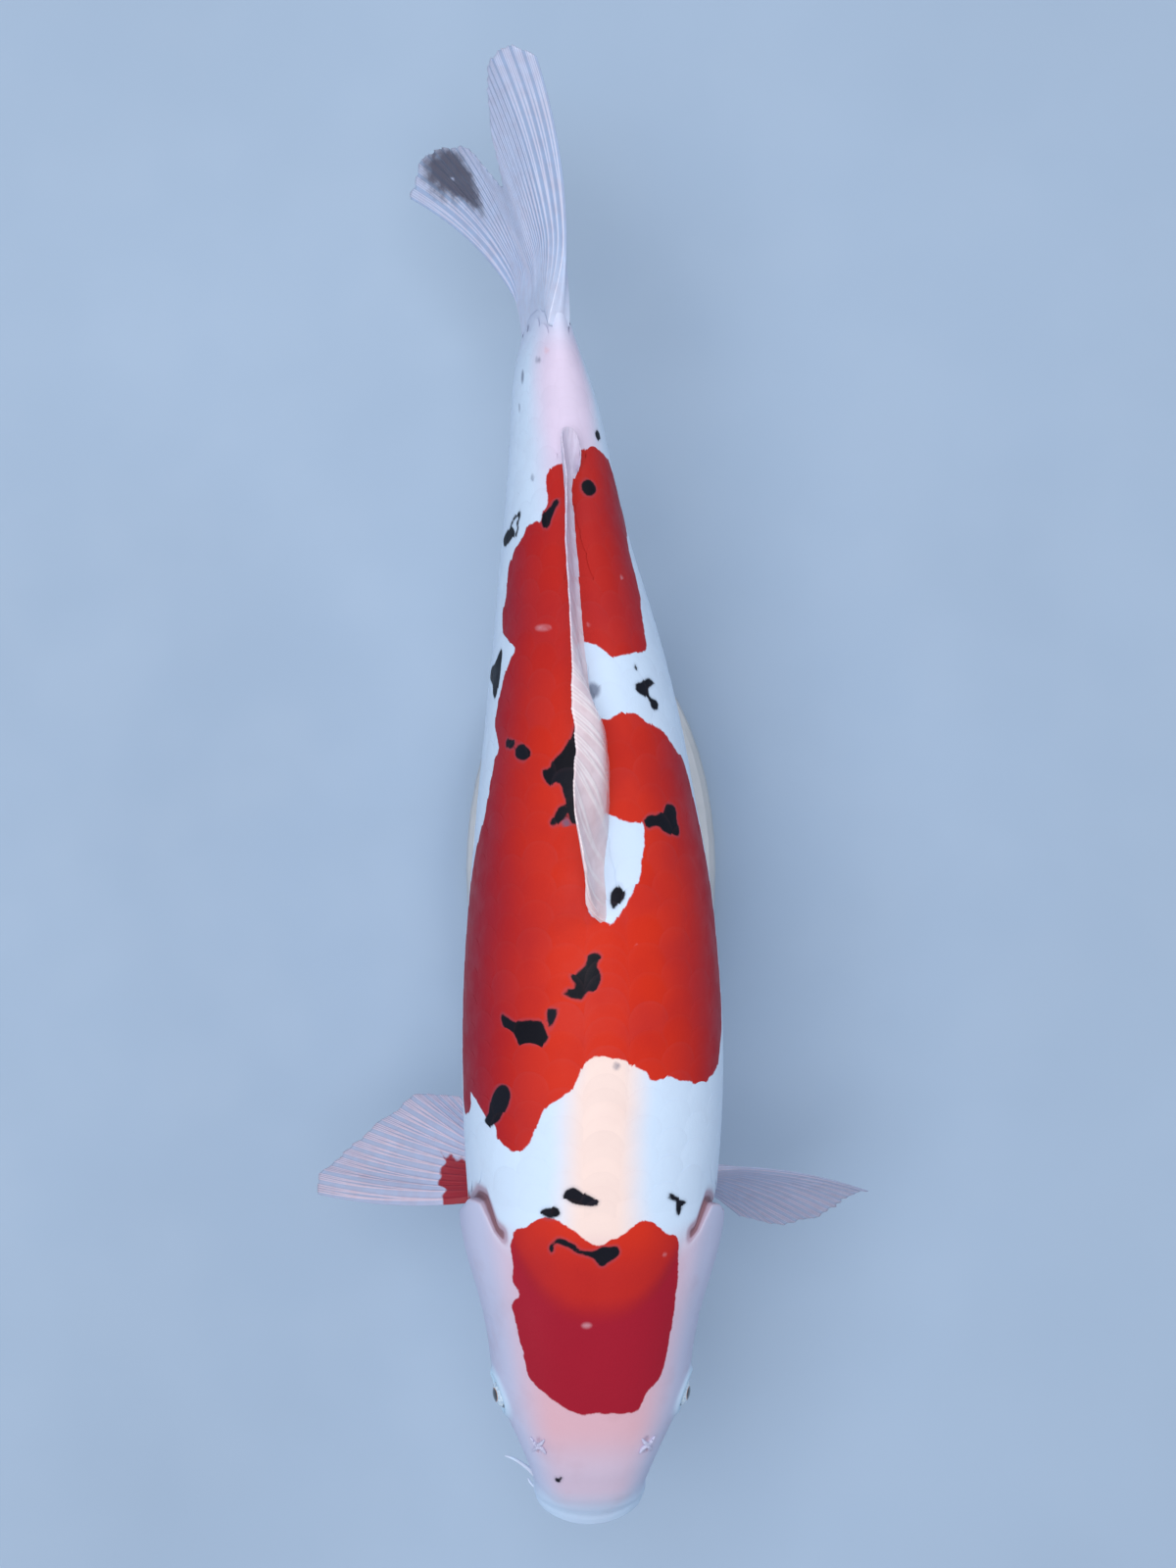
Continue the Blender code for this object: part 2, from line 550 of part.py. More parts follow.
def build():
    for old in list(bpy.data.objects):
        bpy.data.objects.remove(old)
    parts = bpy.data.collections.new("koi_carp")
    cutters = bpy.data.collections.new("cutters")
    for collection in (parts, cutters):
        bpy.context.scene.collection.children.link(collection)

    white = material("white_skin", (0.80, 0.82, 0.86), 0.45)
    head_skin = material("head_skin", (0.78, 0.66, 0.66), 0.45)
    membrane = material("fin_membrane", (0.80, 0.74, 0.78), 0.5)
    iris = material("eye", (0.05, 0.05, 0.06), 0.1)
    lacquer = material("stand_lacquer", (0.62, 0.63, 0.65), 0.4)
    steel = material("stand_steel", (0.62, 0.62, 0.64), 0.3, 1.0)

    rings = head_rings()
    opening = ring(gill_line)
    front = [opening + [0, GAP, 0]] + trunk_rings(None, TRUNK_PARTING, 8)[1:]
    rear = trunk_rings(TRUNK_PARTING + GAP, TAIL_PARTING, 8)
    tail = trunk_rings(TAIL_PARTING + GAP, 500, 8)

    # The whole body, grown by the clearance, trims what grows out of it.
    whole = helper(loft("body_cutter", rings + front[1:] + rear + tail, None, cutters))
    for vertex in whole.data.vertices:
        vertex.co += vertex.normal * 1.6 * GAP * MM

    head = loft("head", rings + [opening] + inner_rings(opening), head_skin, parts)
    jaw = head.copy()
    jaw.data = head.data.copy()
    jaw.name = "lower_jaw"
    parts.objects.link(jaw)
    cut(jaw, jaw_block("jaw_block", 0.0, cutters), "INTERSECT")
    cut(head, jaw_block("jaw_recess", GAP, cutters))
    for side, word in ((-1, "right"), (1, "left")):
        cut(head, helper(gill_cover(f"gill_recess_{word}", side, True, None, cutters)))
        gill_cover(f"gill_cover_{word}", side, False, head_skin, parts)
        centre = (side * EYE["x"], EYE["y"], EYE["z"])
        cut(head, helper(ball(f"eye_socket_{word}", centre, EYE["radius"] + GAP, None, cutters)))
        ball(f"eye_{word}", centre, EYE["radius"], iris, parts)

    loft("trunk_front", inner_rings(front[0])[::-1] + front, white, parts)
    loft("trunk_rear", rear, white, parts)
    loft("tail_stem", tail, white, parts)

    pelvic_right = [(v, *[(-p[0], *p[1:]) for p in ray]) for v, *ray in PELVIC_LEFT]
    fins = {
        "dorsal_fin": (DORSAL, (3.0, 0.9), 6, 21),
        "tail_fin_upper": (TAIL_UPPER, (5.0, 0.9), 9, 11),
        "tail_fin_lower": (TAIL_LOWER, (5.0, 0.9), 9, 11),
        "anal_fin": (ANAL, (3.0, 0.9), 7, 9),
        "pelvic_fin_left": (PELVIC_LEFT, (2.6, 0.9), 7, 9),
        "pelvic_fin_right": (pelvic_right, (2.6, 0.9), 7, 9),
        "pectoral_fin_right": (PECTORAL_RIGHT, (4.0, 0.9), 9, 13),
        "pectoral_fin_left": (PECTORAL_LEFT, (4.0, 0.9), 9, 13),
    }
    for name, (guides, thick, along, across) in fins.items():
        cut(fin(name, guides, thick, membrane, parts, along, across), whole)
    for name, spec in BARBELS.items():
        cut(barbel(name, spec, head_skin, parts), whole)
    stand(lacquer, steel, whole, parts)


build()
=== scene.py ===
"""The looks of the koi carp: one skin with its scales, fins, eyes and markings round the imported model.

The fish is shaped straight, in millimetres of a 593 mm fish, as the CAD part is: x to its left, y (the
station) back from 3 mm behind its lips, z up from its axis. pose() bends, rolls and places it, in metres.
Round the body, place runs from 0 on the back to 1 on the belly, + on the fish's left, and arc is the
same way in millimetres along the skin.
"""

import math

import bpy
import numpy as np
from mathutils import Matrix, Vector


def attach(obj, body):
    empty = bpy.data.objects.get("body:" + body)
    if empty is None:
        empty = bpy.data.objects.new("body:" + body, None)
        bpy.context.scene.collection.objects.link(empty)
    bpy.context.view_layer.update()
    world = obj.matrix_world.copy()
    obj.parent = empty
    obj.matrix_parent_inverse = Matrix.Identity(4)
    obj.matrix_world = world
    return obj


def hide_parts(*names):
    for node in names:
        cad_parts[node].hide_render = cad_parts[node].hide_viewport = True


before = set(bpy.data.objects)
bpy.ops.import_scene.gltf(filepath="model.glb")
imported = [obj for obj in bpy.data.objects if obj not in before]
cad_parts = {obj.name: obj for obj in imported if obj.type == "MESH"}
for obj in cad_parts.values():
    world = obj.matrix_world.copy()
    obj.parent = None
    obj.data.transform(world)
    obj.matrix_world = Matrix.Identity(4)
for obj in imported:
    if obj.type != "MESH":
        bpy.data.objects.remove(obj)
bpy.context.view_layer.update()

# The part's own tables, which the skin follows
LENGTH = 0.593  # snout to the tip of the tail fin
MM = LENGTH / 593
AXIS_HEIGHT = 0.178
STAND_STATION = 262
SECTIONS = np.array(  # y, z of back and belly, half-width, widest share, squareness, set-back of the sides
    [
        (10.5, -14.2, 10.5, -15.4, 8.0, 0.50, 2.0, 2.0, 1.5),  # end of the mouth's pocket
        (2.4, -12.8, 4.0, -16.6, 11.8, 0.50, 2.0, 2.0, 2.6),
        (-1.5, -12.0, 1.3, -17.6, 14.0, 0.50, 2.0, 2.0, 3.4),  # inner edge of the lips
        (-3.0, -9.4, 0.4, -21.0, 17.9, 0.50, 2.1, 2.1, 4.4),  # fullest part of the lips
        (-1.0, -6.2, 3.6, -24.6, 21.8, 0.50, 2.1, 2.1, 5.0),
        (2.0, -3.4, 7.2, -25.2, 22.6, 0.50, 2.2, 2.1, 4.8),  # groove behind the lips
        (4.2, -0.6, 11.2, -27.5, 23.1, 0.50, 2.3, 2.1, 3.6),
        (9.0, 5.5, 19.0, -30.5, 23.4, 0.49, 2.4, 2.1, 2.0),
        (20.0, 14.5, 31.0, -35.0, 26.6, 0.48, 2.5, 2.1, 0.6),
        (34.0, 22.5, 44.0, -39.5, 31.6, 0.47, 2.6, 2.2, 0.0),
        (52.0, 31.0, 60.0, -44.5, 37.9, 0.47, 2.6, 2.3, 0.0),  # through the eyes
        (72.0, 39.5, 78.0, -49.5, 42.2, 0.48, 2.5, 2.4, 0.0),
        (95.0, 48.0, 99.0, -54.5, 46.2, 0.50, 2.4, 2.4, 0.0),
        (120.0, 55.5, 122.0, -59.5, 49.4, 0.52, 2.3, 2.4, 0.0),  # nape
        (150.0, 61.5, 150.0, -64.0, 51.3, 0.53, 2.3, 2.4, 0.0),
        (190.0, 66.5, 190.0, -68.5, 52.9, 0.54, 2.3, 2.4, 0.0),
        (240.0, 68.5, 240.0, -70.0, 50.6, 0.54, 2.3, 2.4, 0.0),
        (290.0, 65.5, 290.0, -68.0, 44.8, 0.53, 2.2, 2.3, 0.0),
        (340.0, 57.5, 340.0, -61.0, 38.0, 0.52, 2.1, 2.2, 0.0),
        (390.0, 46.5, 390.0, -49.5, 28.3, 0.51, 2.0, 2.1, 0.0),
        (430.0, 37.5, 430.0, -38.5, 21.0, 0.50, 2.0, 2.0, 0.0),
        (463.0, 31.5, 463.0, -31.5, 16.2, 0.50, 2.0, 2.0, 0.0),
        (485.0, 30.0, 485.0, -30.0, 9.6, 0.50, 2.0, 2.0, 0.0),
        (500.0, 31.0, 500.0, -31.0, 4.6, 0.50, 2.0, 2.0, 0.0),  # root of the tail fin
    ]
)
GILL_LINE = [
    (0, 121.5), (0.17, 122), (0.215, 123.8), (0.245, 126.2), (0.262, 130), (0.28, 134.8), (0.3, 138.2),
    (0.33, 138.6), (0.37, 136), (0.43, 132), (0.5, 129), (0.6, 125.5), (0.72, 117), (0.85, 98), (1, 76),
]  # fmt: skip
GILL_FLARE = 4.4
BEND = [
    (0, -0.4), (35, -0.2), (80, -0.1), (150, -0.1), (240, -0.8), (300, -2.6), (345, -4.8), (400, -10.3),
    (450, -14.5), (500, -19), (600, -21),
]
ROLL = [(0, 2), (120, 3), (245, 5.6), (335, 3.4), (395, 4.8), (440, 9), (500, 11), (600, 12)]

# Fins as fans of guide rays: place along the base, root, tip and the offset of the ray's middle
DORSAL = [
    (0.00, (1, 248, 62), (-9, 258, 80), (-1, -1, 2)),
    (0.05, (0, 254, 62), (-10, 280, 98), (-2.5, -3, 4)),
    (0.12, (0, 265, 61), (-11.2, 296, 97), (-2, -2, 3)),
    (0.24, (0, 286, 60), (-9.2, 316, 90), (6.5, -2, 2)),
    (0.36, (-1, 306, 58), (-8.8, 333, 83), (9, -1, 1)),
    (0.46, (-1, 324, 55), (-7.5, 348, 77.5), (4, 0, 1)),
    (0.56, (-1, 342, 52), (-6.5, 363, 72.5), (0.5, 0, 1)),
    (0.76, (0, 380, 44), (-5, 399, 60.5), (-1, 0, 1)),
    (0.88, (0, 403, 39), (-4.5, 422, 55), (-1, 0, 0)),
    (0.93, (0, 412, 37), (-5.6, 437, 50), (-1, 0, 0)),
    (0.96, (0, 419, 36), (-3.0, 443, 47), (-1, 0, 0)),
    (0.985, (0, 424, 35), (2.2, 434, 43), (1, 0, 1)),  # the last rays lie over to the left
    (1.00, (0, 427, 34), (1.6, 426, 40), (1, 0, 1)),
]
TAIL = [  # both lobes in one web, the fork at 0.5
    (0.00, (0, 484, 28), (-14, 586, 60), (8, 0, -2)),
    (0.06, (0, 490, 26), (-22, 590, 54), (7, 0, -2)),
    (0.18, (0, 493, 20), (-28, 586, 40), (5, 0, -1)),
    (0.35, (0, 495, 10), (-25, 571, 19), (3, 0, 0)),
    (0.50, (0, 496, 0), (-17, 548, -3), (1, 0, 0)),
    (0.60, (0, 496, -7), (-21, 560, -20), (2, 0, 1)),
    (0.72, (0, 495, -14), (-28, 572, -38), (3, 1, 2)),
    (0.85, (0, 493, -21), (-37, 574, -57), (5, 2, 4)),
    (0.94, (0, 490, -26), (-42, 567, -68), (7, 3, 6)),
    (1.00, (0, 485, -29), (-45, 557, -73), (8, 3, 7)),
]
ANAL = [
    (0.00, (0, 398, -42), (0, 416, -72), (0, -2, -1)),
    (0.12, (0, 401, -42), (0, 431, -86), (0, -4, -1)),
    (0.35, (0, 409, -40), (-1, 444, -82), (0, -3, -1)),
    (0.70, (0, 419, -37), (-1, 449, -68), (0, -2, -1)),
    (1.00, (0, 428, -34), (0, 448, -54), (0, -1, 0)),
]
PELVIC_LEFT = [
    (0.00, (19, 249, -61), (33, 284, -86), (2, -2, -2)),
    (0.20, (18, 252, -62), (34, 295, -92), (2, -2, -3)),
    (0.50, (15, 256, -63), (26, 301, -97), (1, -1, -3)),
    (0.80, (12, 260, -64), (15, 296, -95), (0, -1, -2)),
    (1.00, (9, 262, -64), (8, 286, -87), (0, 0, -1)),
]
PECTORAL_RIGHT = [
    (0.00, (-41, 129, -27), (-116, 126, -66), (0, -3, 5)),
    (0.07, (-41, 131, -29), (-116, 131, -67), (0, -2, 5)),
    (0.22, (-41, 134, -31), (-109, 139, -67), (0, -2, 4)),
    (0.42, (-41, 139, -35), (-97, 149, -66), (0, -1, 4)),
    (0.62, (-41, 144, -39), (-83, 160, -64), (0, 0, 3)),
    (0.82, (-40, 149, -43), (-66, 170, -61), (0, 0, 2)),
    (1.00, (-39, 152, -47), (-52, 169, -56), (0, 0, 1)),
]
PECTORAL_LEFT = [
    (0.00, (41, 142, -22), (122, 129, -38), (0, 5, 4)),
    (0.20, (41, 141, -26), (115, 125, -50), (0, 4, 4)),
    (0.40, (41, 140, -31), (109, 118, -64), (0, 4, 3)),
    (0.60, (41, 139, -36), (100, 112, -75), (0, 3, 2)),
    (0.80, (40, 138, -41), (87, 108, -82), (0, 2, 1)),
    (1.00, (39, 137, -45), (70, 112, -81), (0, 1, 0)),
]
EYE = dict(x=32.8, y=56, z=5, radius=7.6)
BARBELS = {  # root, bend and tip, root radius
    "barbel_corner_right": ((-17.5, 9, -20), (-26.5, 19, -31), (-35.6, 19.6, -35), 1.3),
    "barbel_corner_left": ((17.5, 11, -21), (23.5, 18, -33), (22, 33, -44), 1.3),
    "barbel_lip_right": ((-19, 8.5, -18), (-23.5, 10.5, -20), (-25.8, 13.8, -21), 0.9),
    "barbel_lip_left": ((17, 5.5, -16), (21, 6.5, -23), (21, 10, -29), 0.9),
}

# Looks
SKIN_DEPTH = 0.45  # the skin lies this far inside the solids, under the scales
SKIN_COLUMNS = 300
FACE_ROW = 8  # the skin's first rings follow SECTIONS as far as this row of it
FACE_RINGS, COVER_RINGS, TRUNK_RINGS = 54, 111, 121  # on the face, ahead of the gill's rim and behind it
RIM_FROM, RIM_TO = -12, 10  # where the close rings of the gill's rim begin and end, in mm past its line
LATERAL_PLACE = 0.5  # the lateral line's place round the body
REACH = 5.0  # how far inside or outside a marking its depth still changes, in mm
CHEEK_GROOVES = [  # path in side view, depth, width
    ([(12, -15), (18, -19), (25, -27)], 1.1, 1.5),  # corner of the mouth
    ([(17, -12), (24, -16), (30, -24)], 0.5, 2.2),
    ([(64, 2), (71, -6), (79, -16), (84, -30), (80, -43), (72, -47)], 0.9, 1.7),  # preopercle
    ([(36, 2), (42, -7), (50, -11), (60, -10), (66, -3)], 0.5, 1.6),  # under the eye
    ([(88, 20), (88, 0), (91, -20), (95, -34)], 0.5, 1.5),  # front of the gill cover
]
VENT = 396  # its station
NOSTRIL = dict(x=21.9, y=37.0, gap=2.6, radius=0.9)  # the middle of its two openings, one behind the other
GILL_PROFILE = [  # rings across the gill cover's rim: mm past its line, share of the flare, depth in the slit
    (-10, 1.0, 0), (-8, 1.0, 0), (-6, 1.0, 0), (-4.5, 1.0, 0), (-3.2, 1.0, 0), (-2, 0.99, 0), (-1, 0.97, 0),
    (-0.3, 0.92, 0.1), (0.1, 0.84, 0.3), (0.3, 0.72, 0.45), (0.45, 0.56, 0.6), (0.55, 0.40, 0.75),
    (0.65, 0.24, 0.9), (0.75, 0.08, 1), (0.85, -0.06, 1), (1.0, -0.16, 1), (1.2, -0.24, 1), (1.6, -0.26, 1),
    (2.2, -0.24, 0.95), (3.2, -0.18, 0.7), (4.6, -0.11, 0.4), (6.2, -0.05, 0.15), (8.0, -0.01, 0), (10, 0, 0),
]  # fmt: skip
# A scale: mm off the body at its front and rear, then shares of the pitch and the row
SCALE = dict(low=-0.24, high=0.06, dome=0.04, thick=0.10, curl=0.08, half_length=0.95, half_row=0.66)
SCALE_SPOKES = 32
SEAM_LIFT = 0.02  # the scales along the back and the belly lie this much over the others
FIRST_SCALE, LAST_SCALE = 104.0, 487  # stations
RIDGE_SPANS = [(127, 250), (425, 484)]  # where scales run along the back, round the dorsal fin
KEEL_SPANS = [(92, 390), (402, 484)]  # and along the belly, round the vent
SCALE_PATCH = 0.0015  # half a scale's width on the map for baking
SCALE_ROW = [(120, 13.0), (250, 13.6), (340, 11.6), (400, 9.8), (460, 8.2), (500, 7.6)]  # mm between rows
SCALE_PITCH = [(110, 9.4), (150, 10.8), (300, 11.2), (400, 9.0), (470, 7.4), (500, 6.6)]  # and along a row
RAY_JOINTS = 26  # along each ray of a fin

# Markings: closed outlines of (station, arc) points, smoothed
RED = {
    "head cap": [
        (126, -35.8), (129.3, -35), (131, -30), (133, -27), (135.3, -22), (134.5, -16), (133, -14),
        (130.5, -10), (128, -7), (125.5, -3), (125, 1), (127, 4), (128, 7), (132, 13), (134.3, 17),
        (132.5, 22), (128, 28), (127, 32), (124, 33.5), (115, 34.5), (104, 34), (93, 33), (88, 32.3),
        (82, 31), (75, 29.8), (70, 27.6), (67, 25.2), (64.5, 21.2), (61, 20), (57.4, 17.5), (56.2, 12),
        (56.4, 6), (56.8, 1), (56.2, -4), (57.2, -7.5), (59, -12), (64.2, -20), (67.5, -24.5), (70, -27.5),
        (74, -29), (80, -30.5), (87, -33), (94.5, -35), (98.5, -36.2), (100.5, -35.2), (102.5, -32.8),
        (105, -32.8), (108.5, -35.5), (116, -35.6), (123, -37),
    ],
    "saddle": [
        (171, -82), (171, -72), (175, -68.5), (180, -69), (176, -60), (172, -54), (168.5, -47),
        (164.5, -46), (161.5, -42), (159.5, -36), (162, -31), (165, -28.5), (169.5, -27), (173.5, -25),
        (178, -22.5), (181.5, -17), (184, -13.5), (189.5, -11), (195.7, -8), (198, -4), (197, 2.5),
        (196.7, 6), (195.4, 9), (193, 12), (191.7, 15), (188.5, 18), (188.8, 22.5), (188.4, 27), (187, 33),
        (185.5, 43.5), (186, 48), (188, 54), (190.5, 59), (195, 62), (200, 65), (206, 69), (215, 71),
        (230, 71), (250, 70), (270, 68), (285, 66), (295, 62), (305, 57), (311.5, 52), (315.5, 46),
        (318.5, 41), (321.5, 37.5), (324, 33.5), (325.5, 28), (329, 21), (330.5, 14.5), (329, 10.4),
        (327, 7), (327.5, 3), (326, 1), (305, 0.5), (293, 1.5), (290, 6), (288.5, 10), (287.3, 17),
        (283, 17.4), (273, 15.4), (266.5, 13.7), (262, 11.3), (258, 9), (254, 6.7), (250.5, 4.2),
        (248, 1.5), (249.5, -1), (251, -4), (253, -6.3), (258, -6.8), (266, -5.2), (276, -3), (288, -1.5),
        (300, -1.5), (360, -1.5), (400, -1.5), (428, -2), (429, -5), (427.5, -9), (423, -11.3),
        (413.5, -11), (411, -13), (406.3, -14.5), (406.3, -17.7), (405, -22), (402, -25), (396.7, -32),
        (391, -38), (387.5, -40.5), (379, -42.5), (375, -45), (370, -47.4), (363.5, -46.5), (361, -42),
        (358, -37), (356.4, -34.5), (354, -35.3), (351.3, -38.8), (345.7, -43), (337, -49), (333, -51),
        (328, -53), (324.5, -53), (318, -48.5), (315, -50), (307.7, -54.5), (299.5, -58), (290, -62.5),
        (286.5, -66), (278, -75), (262, -92), (245, -97), (225, -98), (205, -95), (190, -92), (178, -88),
    ],
    "rear right": [
        (358, -1), (357.5, 2), (356.6, 5), (353.2, 9.6), (352, 13), (353.2, 17.8), (353.7, 21.5),
        (354.8, 25.5), (355.5, 29.3), (357.4, 31.5), (364, 32), (373, 33), (378, 35), (390, 34.7),
        (396, 34), (400, 35), (404, 38), (410, 42), (418, 42), (422, 40), (426, 36), (431.5, 27),
        (434.5, 20.5), (436.5, 12), (436, 6), (434, 3), (428, 0), (415, -3), (380, -3), (362, -3),
    ],
}
INK = {  # black
    "snout": [
        (26.2, -14.8), (25.9, -13.6), (27.1, -13), (28.4, -12.3), (28.8, -13), (27.9, -14), (28.1, -15.3),
        (27, -15.6),
    ],
    "shoulder": [
        (184, -46), (185, -42), (182, -39), (178, -40), (175, -42), (171, -45), (168.5, -50), (169.5, -53),
        (171, -54.5), (174, -51.5), (177, -51), (181, -49),
    ],
    "nape wedge": [
        (146.7, -12.2), (145.2, -14.2), (142.8, -14.6), (141, -12.6), (140, -10), (139.5, -6.1),
        (139.4, -1.8), (140.8, -0.6), (142.2, -2.1), (143.7, -5), (145.3, -7.6), (146.8, -9.9),
    ],
    "nape fork": [
        (143.2, 29), (142.7, 27.4), (141.4, 28), (140.4, 30.4), (139.4, 31.9), (135.9, 31.7), (134.8, 34),
        (138.4, 34.9), (139.2, 37.4), (140.3, 36.8), (140.9, 34.7), (141.8, 31.6),
    ],
    "head hook": [
        (124.3, 4.5), (124.6, 6.8), (123, 8), (121.2, 7.7), (119.6, 6), (118.3, 3.8), (117, 2.3),
        (116.8, 0.6), (118.3, -0.7), (120.2, -2.6), (121, -5.2), (122.3, -9), (124, -11.7), (125.5, -16.2),
        (124.7, -17.8), (122.6, -17.8), (122, -18.8), (124, -19.4), (126, -18), (127.6, -15.5),
        (125.7, -10.3), (123.5, -7.7), (122.8, -5), (122.7, -2), (124.3, 1.2),
    ],
    "mid-back": [
        (236, -7.9), (237.2, -6.2), (237.2, -2.8), (235.4, -2.3), (233.8, -3.7), (232.3, -4), (230, -2.7),
        (227.2, -2.4), (225.7, -3.2), (223.5, -4.2), (222.8, -5.4), (223.2, -7.3), (220.3, -10),
        (220.6, -12.2), (221.3, -14.8), (222.4, -17), (223.8, -15.4), (224, -12.9), (225.3, -12),
        (228, -14.2), (229.6, -12.7), (232.6, -9.2), (234, -7.7),
    ],
    "mid-back chip": [
        (215.6, -23.5), (215.7, -19.5), (214.7, -19.2), (212.4, -20), (209.4, -21.8), (211.6, -23.2),
        (213.8, -23.4),
    ],
    "right tadpole": [
        (213, -44.5), (212.6, -43), (211, -39), (210.4, -36), (210.8, -32), (210.8, -26), (209.3, -24.6),
        (207.4, -24), (205.3, -22.6), (203.5, -23.4), (202, -25), (201.8, -28), (202.2, -31.3),
        (201.7, -34), (202.6, -36), (204.7, -37.3), (206.5, -38.7), (207.8, -42), (209, -44),
        (211.5, -45.2),
    ],
    "beside the dorsal": [
        (328, -5), (322, -3.5), (310, -3), (300, -4), (293, -6), (288, -8.5), (288, -11), (292, -12),
        (298, -12.8), (302.5, -14), (303, -16), (302, -17.5), (303, -19), (304.5, -20.5), (307, -21.5),
        (308, -20.5), (308.5, -18), (310.5, -17), (312.5, -15.5), (314.5, -13), (316, -11.5), (319.5, -9),
    ],
    "below it": [
        (294, -12.7), (293.3, -11.4), (291.4, -12), (289, -14), (287.6, -16), (286.3, -18), (286.6, -19.3),
        (288, -19.4), (289.3, -17.8), (291.2, -17), (293.4, -15),
    ],
    "left triangle": [
        (293.8, 29.7), (294.4, 31.8), (293.6, 35.3), (292, 36.8), (289, 36.2), (286, 36.8), (283.2, 37),
        (282, 35), (283, 31), (284.3, 27), (286, 24.6), (286, 22.5), (285.5, 19.8), (286.2, 18.4),
        (287.8, 18), (289, 19), (290, 21.4), (289.7, 24.3), (291.7, 27.8),
    ],
    "diamond": [
        (264.6, 5.6), (263, 6.6), (261.3, 7.6), (259.4, 7.6), (257.6, 6.6), (255.6, 4.4), (254.2, 3),
        (255.4, 1.8), (258.5, 1.6), (261, 2), (263, 3.5),
    ],
    "right flank": [
        (356.6, -48), (354, -53), (351, -58), (350, -66), (347.5, -70), (345, -68), (342.5, -60),
        (338.5, -57.5), (336.5, -54.5), (338, -52), (342, -50), (346.5, -48), (351.5, -47.2), (355, -46.6),
    ],
    "white band": [
        (344, 26.7), (344.3, 29.8), (343, 32.7), (341.8, 33), (340.6, 30.5), (339.4, 28), (337.8, 27.5),
        (336.3, 29), (335.4, 32), (334, 33.6), (332.6, 33), (332, 30.5), (333, 28), (334.6, 28),
        (336, 26.5), (337.3, 25), (338, 22.7), (339.5, 20.3), (340.8, 19.7), (342, 21.8), (342.3, 24.2),
    ],
    "dorsal's end": [
        (414.5, -6.5), (413, -5.9), (410.8, -7.5), (407.3, -9.5), (404.7, -10), (403.2, -11.6),
        (403.8, -13), (405.5, -14.2), (407.5, -14), (409.7, -12.7), (412, -9.4), (413.7, -8.2),
    ],
    "tail flank": [
        (406, -36.6), (405.5, -39.5), (404, -45), (402, -51), (399.4, -48.5), (399, -41), (400.4, -36.6),
        (401.8, -33.8), (403.8, -33.2), (405.2, -34.6),
    ],
    "tail flank loop": [
        (411.6, -28.2), (410.2, -32.4), (408, -36.7), (405.5, -39.5), (405.2, -38), (407.3, -35.4),
        (409, -31.8), (409.8, -30), (408.4, -30), (406.8, -31.6), (404.5, -30.9), (402, -32.8),
        (401.4, -31.4), (404.5, -29.4), (407, -30), (409.2, -28.2),
    ],
}
INK_SPOTS = [  # station, arc, half its size along and across
    (137, -19.6, 2.1, 4.1), (318.3, -38.8, 2.3, 3.4), (314.7, -31, 2.8, 4.5), (348.3, 21.7, 1.3, 0.9),
    (419.7, 6.8, 2.9, 3.7), (442, 15.4, 2.2, 2.3),
]
FAINT_SPOTS = [  # the same, for blue-grey smudges under the skin
    (339.2, 1.7, 3.2, 2.6), (193.8, 4, 1.1, 1.1), (288, -13, 1.6, 1.6), (424.5, -19.2, 1.4, 0.7),
    (472.3, -12.7, 1.3, 0.5), (472, -11, 1.1, 0.45), (467, -24.9, 2.6, 1.3), (454.5, -28.6, 1.6, 0.5),
]
# pinkish scars; the small pale mark at station 120 on the head's red is a painted highlight
SCARS_AND_HIGHLIGHT = [  # the same, for pinkish marks
    (363.5, -17, 1.0, 4.0), (384.5, 21, 1.0, 1.0), (365, 2, 0.6, 0.6), (241, 11.5, 0.6, 0.6),
    (120, 27, 0.7, 0.8), (93, -4, 1.2, 2.0), (475.5, -6.5, 1.6, 1.4),
]
TAIL_RUN, TAIL_SPREAD = 80, 60  # length of a ray and width of half the tail fin, in the patch's units
TAIL_PATCH = [  # black in the lower lobe, along and across its rays
    (48, 43), (52, 37), (58, 33), (64, 30), (70, 28.5), (76, 29), (79, 33), (79.5, 39), (78.5, 45),
    (77.5, 50), (74, 54), (68, 54.5), (62, 52), (56, 49), (51, 46),
]  # fmt: skip


def smooth_curve(knots):
    """A smooth function through (x, y) knots that doesn't overshoot, level beyond its ends."""
    x, y = np.array(knots, float).T
    step, slope = np.diff(x), np.diff(y) / np.diff(x)
    product, total = slope[:-1] * slope[1:], slope[:-1] + slope[1:]
    inner = np.where(product > 0, 2 * product / (total + 1e-12), 0)
    tangent = np.concatenate([[slope[0]], inner, [slope[-1]]])

    def value(at):
        at = np.clip(np.asarray(at, float), x[0], x[-1])
        i = np.clip(np.searchsorted(x, at) - 1, 0, len(step) - 1)
        t = (at - x[i]) / step[i]
        start = y[i] + tangent[i] * step[i] * t
        end = y[i + 1] + tangent[i + 1] * step[i] * (t - 1)
        return start + (end - start) * t * t * (3 - 2 * t)

    return value


def ramp(value, start, end):
    """0 before start, 1 after end, smooth between."""
    t = np.clip((value - start) / (end - start), 0, 1)
    return t * t * (3 - 2 * t)


def bell(value, width):
    """1 at 0, falling off on both sides within about twice the width."""
    return np.exp(-((value / width) ** 2))


def full_turn(count):
    """Evenly spaced angles round a full turn."""
    return np.arange(count) / count * 2 * math.pi


def unit(vectors):
    """The same directions with a length of 1."""
    return vectors / (np.linalg.norm(vectors, axis=-1, keepdims=True) + 1e-9)


section = [smooth_curve(list(enumerate(column))) for column in SECTIONS.T]
gill_line = smooth_curve(GILL_LINE)
bend = smooth_curve(BEND)
roll = smooth_curve(ROLL)
row_spacing = smooth_curve(SCALE_ROW)
pitch_at = smooth_curve(SCALE_PITCH)


